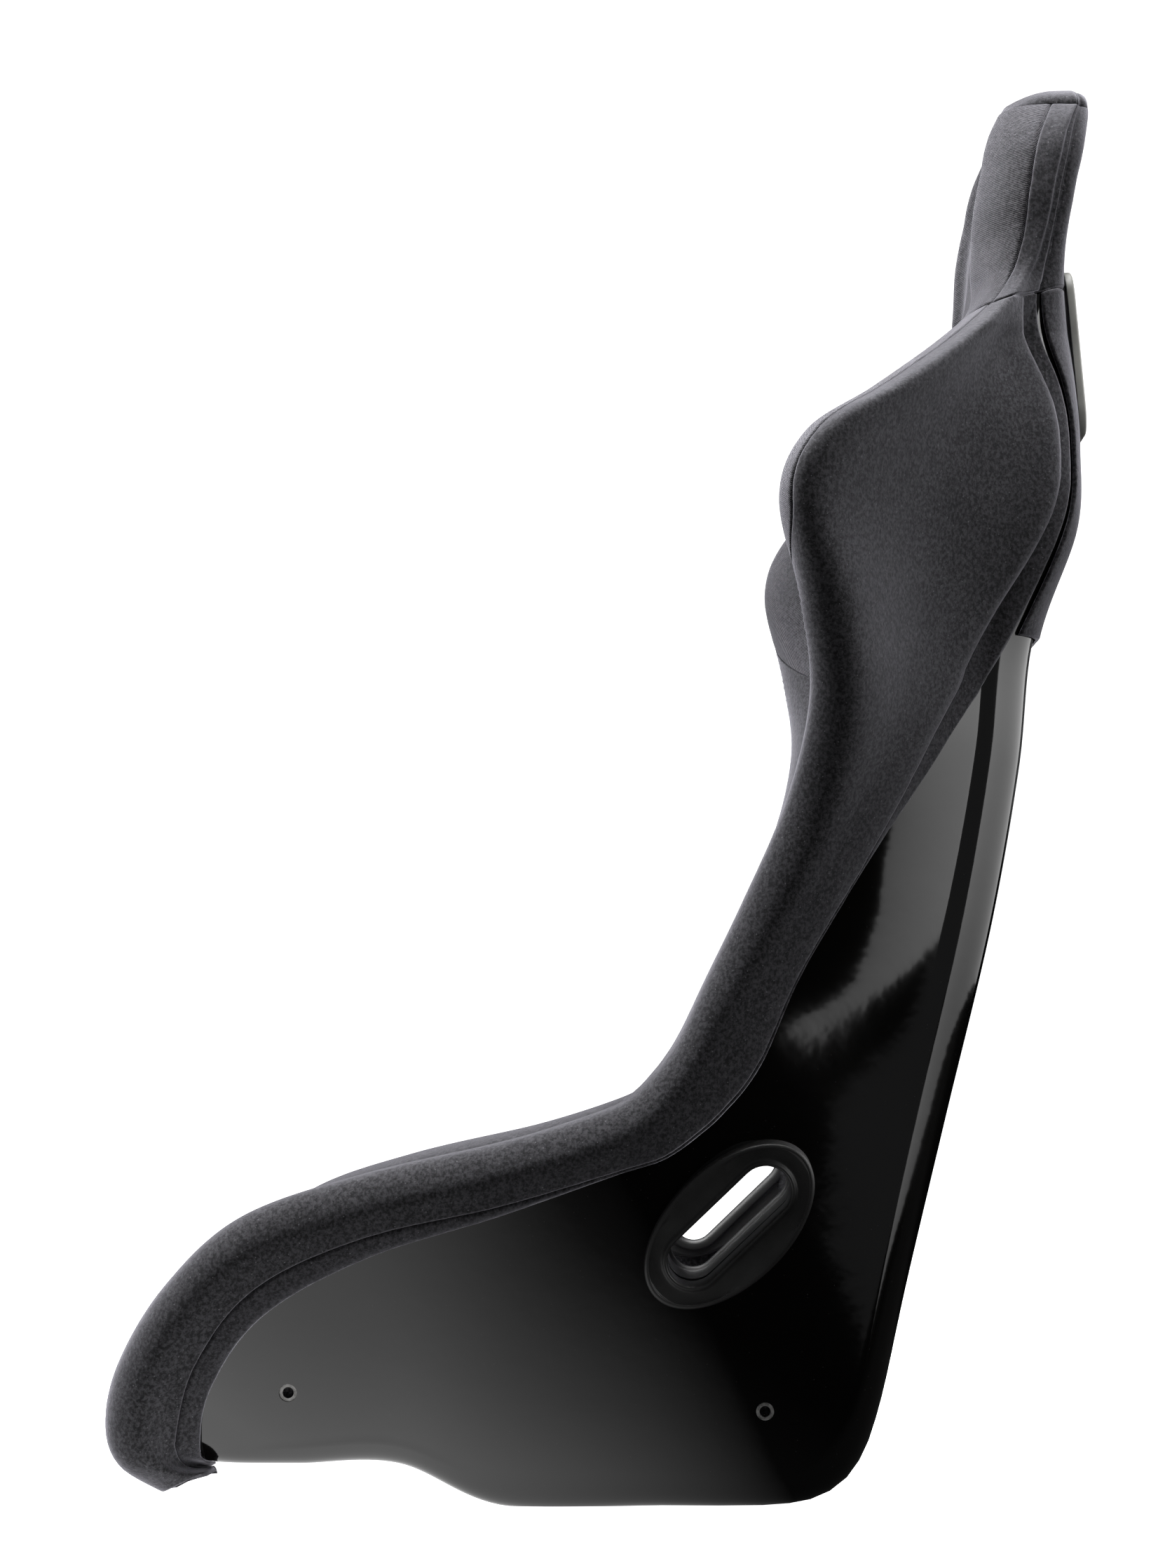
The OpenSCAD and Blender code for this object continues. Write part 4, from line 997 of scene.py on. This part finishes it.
OUTER_BEZEL = SIDE_SLOT @ turn("Y", 1.8) @ move(0, 0, 2.5)      # lies flat on the moulding's curved side


def belt_shape(grow):
    return rounded(SHOULDER_W + grow, SHOULDER_H + grow, 12 + grow / 2 if grow < 12 else 18, 12)


def belt_face(out):
    """Rings of a shoulder belt trim; out is the sign of the local Z that it faces."""
    rows = ((16, -0.5), (16, 2.6), (15, 4.2), (12.5, 4.8), (10, 4.4), (9, 3.0), (3, 2.6), (0.8, 2.0),
            (0, 0.5), (0, -22.5), (3, -22.5), (3, -0.5))
    return [(belt_shape(grow), out * z) for grow, z in rows]


def crotch_shape(grow):
    return rounded(CROTCH_W + grow, CROTCH_L + grow, 10 + grow / 2, 10)


def crotch_face(base, out, sleeve):
    """Rings of a crotch belt trim on the height base; out is 1 facing up or -1 facing down."""
    rows = ((16, -1), (16, 2.4), (14.6, 3.4), (11, 3.8), (6, 3.2), (1.2, 2.4), (0, 1), (0, -sleeve),
            (2.2, -sleeve), (2.2, -1))
    return [(crotch_shape(grow), base + out * z) for grow, z in rows]


x, z = SHOULDER_AT
SIDE_TRIMS = {
    "side_bezel_outer_": (OUTER_BEZEL, side_face, TRIM_BLACK, "trim_black"),
    "side_bezel_inner_": (SIDE_SLOT, inside_face, TRIM_BLACK, "trim_black"),
    "shoulder_bezel_rear_": (move(x, SHOULDER_REAR_Y, z) @ turn("X", 90 + SHOULDER_LEAN), belt_face(-1),
                             TRIM_GREY, "trim_grey"),
    "shoulder_bezel_front_": (move(x, SHOULDER_FRONT_Y, z) @ turn("X", 90), belt_face(1),
                              TRIM_BLACK, "trim_black")}
for (side, _), matrix in zip(SIDES, TWO_SIDES):
    for name, (place_at, rings, mat, slot) in SIDE_TRIMS.items():
        made = trim(name.replace("bezel", "trim") + side, matrix, place_at, rings)
        dress(made, mat, "seat", slot, name + side)
CROTCH_TRIMS = {
    "upper": ("seat_cushion", crotch_face(CROTCH_TOP_Z + 1, 1, 20)),
    "lower": ("seat", crotch_face(CROTCH_BASE_Z, -1, 7))}
for name, (body, rings) in CROTCH_TRIMS.items():
    made = trim("crotch_trim_" + name, Matrix(), move(0, CROTCH_Y, 0), rings)
    dress(made, TRIM_BLACK, body, "trim_black", "crotch_bezel_" + name)

# ---------------------------------------------------------------- CAD pieces that keep their shape
KEPT = {"side_inserts_": ZINC, "side_plate_": PRIMER, "pan_hook_strips": TAPE, "cushion_loop_strips": TAPE}
for name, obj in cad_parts.items():
    for start, mat in KEPT.items():
        if name.startswith(start):
            obj.data.materials.clear()
            obj.data.materials.append(mat)

# ---------------------------------------------------------------- studio
WHITE = 1.3             # what the camera sees behind and under the seat


def card(name, corners, mat, seen=False):
    obj = new_object(name, np.array(corners) / MM, [[0, 1, 2, 3]], smooth=False)
    obj.data.materials.append(mat)
    obj.visible_camera = seen
    return obj


def floor_material():
    """White to the camera. The seat's gloss sees a bright pool around it that fades into a dark room."""
    mat, nodes, links = material("floor_white")
    shader = nodes["Principled BSDF"]
    shader.inputs["Base Color"].default_value = (0.9, 0.9, 0.9, 1)
    shader.inputs["Roughness"].default_value = 0.9
    shader.inputs["Emission Color"].default_value = (1, 1, 1, 1)
    shader.inputs["Emission Strength"].default_value = WHITE
    xyz = node(nodes, "ShaderNodeSeparateXYZ")
    links.new(node(nodes, "ShaderNodeTexCoord").outputs["Object"], xyz.inputs["Vector"])
    away = node(nodes, "ShaderNodeMath", operation="ABSOLUTE")
    links.new(xyz.outputs["X"], away.inputs[0])
    pool = node(nodes, "ShaderNodeValToRGB")
    for spot, value in ((0.0, 1.0), (0.27, 1.0), (0.4, 0.6), (0.62, 0.11), (1.0, 0.03)):
        stops = pool.color_ramp.elements
        stop = stops.new(spot) if 0 < spot < 1 else stops[0 if spot == 0 else -1]
        stop.color = (value, value, value, 1)
    links.new(away.outputs["Value"], pool.inputs["Fac"])
    rear = ramp_node(nodes, links, xyz.outputs["Y"], -0.14, 0.12, 1.5, 0.02)
    strength = node(nodes, "ShaderNodeMath", operation="MULTIPLY")
    links.new(pool.outputs["Color"], strength.inputs[0])
    links.new(rear, strength.inputs[1])
    glow = node(nodes, "ShaderNodeEmission")
    links.new(strength.outputs["Value"], glow.inputs["Strength"])
    seen = node(nodes, "ShaderNodeMixShader")
    links.new(node(nodes, "ShaderNodeLightPath").outputs["Is Camera Ray"], seen.inputs["Fac"])
    links.new(glow.outputs["Emission"], seen.inputs[1])
    links.new(shader.outputs["BSDF"], seen.inputs[2])
    links.new(seen.outputs["Shader"], nodes["Material Output"].inputs["Surface"])
    return mat


def softbox(name, centre, normal, width, height, bright, dim):
    """A glowing card that fades from its top to its foot; the camera doesn't see it."""
    n = Vector(normal).normalized()
    side = Vector((0, 0, 1)).cross(n).normalized()
    up = n.cross(side)
    c = Vector(centre)
    wide, rise = side * (width / 2), up * (height / 2)
    corners = [c - wide - rise, c + wide - rise, c + wide + rise, c - wide + rise]
    mat, nodes, links = material(name)
    xyz = node(nodes, "ShaderNodeSeparateXYZ")
    links.new(node(nodes, "ShaderNodeTexCoord").outputs["Object"], xyz.inputs["Vector"])
    low, high = min(v.z for v in corners), max(v.z for v in corners)
    glow = node(nodes, "ShaderNodeEmission")
    if high - low > 0.1:
        links.new(ramp_node(nodes, links, xyz.outputs["Z"], low, high, dim, bright), glow.inputs["Strength"])
    else:
        glow.inputs["Strength"].default_value = bright
    links.new(glow.outputs["Emission"], nodes["Material Output"].inputs["Surface"])
    card(name, corners, mat)


card("floor", [(-30, -30, 0), (30, -30, 0), (30, 30, 0), (-30, 30, 0)], floor_material(), seen=True)
softbox("softbox_rear", (0, 2.1, 0.95), (0, -1, 0), 4.3, 2.0, 4.2, 0.7)
softbox("softbox_top", (0, -0.5, 2.6), (0.001, 0.1, -1), 1.5, 3.2, 13.0, 13.0)
softbox("softbox_front", (0, -3.0, 1.7), (0, 1, -0.3), 1.6, 2.6, 9.0, 4.0)

world = bpy.data.worlds.new("studio")
bpy.context.scene.world = world
world.use_nodes = True
nodes, links = world.node_tree.nodes, world.node_tree.links
room = nodes["Background"]
room.inputs["Color"].default_value = (0.97, 0.98, 1, 1)
room.inputs["Strength"].default_value = 0.1
white = node(nodes, "ShaderNodeBackground")
white.inputs["Color"].default_value = (1, 1, 1, 1)
white.inputs["Strength"].default_value = WHITE
seen = node(nodes, "ShaderNodeMixShader")
links.new(node(nodes, "ShaderNodeLightPath").outputs["Is Camera Ray"], seen.inputs["Fac"])
links.new(room.outputs["Background"], seen.inputs[1])
links.new(white.outputs["Background"], seen.inputs[2])
links.new(seen.outputs["Shader"], nodes["World Output"].inputs["Surface"])

# ---------------------------------------------------------------- camera
camera_data = bpy.data.cameras.new("camera")
camera_data.lens, camera_data.sensor_width = 92.45, 36
camera_data.shift_x, camera_data.shift_y = -0.0778, 0.161
camera_data.clip_start, camera_data.clip_end = 0.05, 100
camera = bpy.data.objects.new("camera", camera_data)
camera.location = (2.65, 0.062, 0.287)
camera.rotation_euler = (math.radians(90), 0, math.radians(90))
bpy.context.scene.collection.objects.link(camera)
bpy.context.scene.camera = camera
bpy.context.scene.view_settings.view_transform = "Standard"
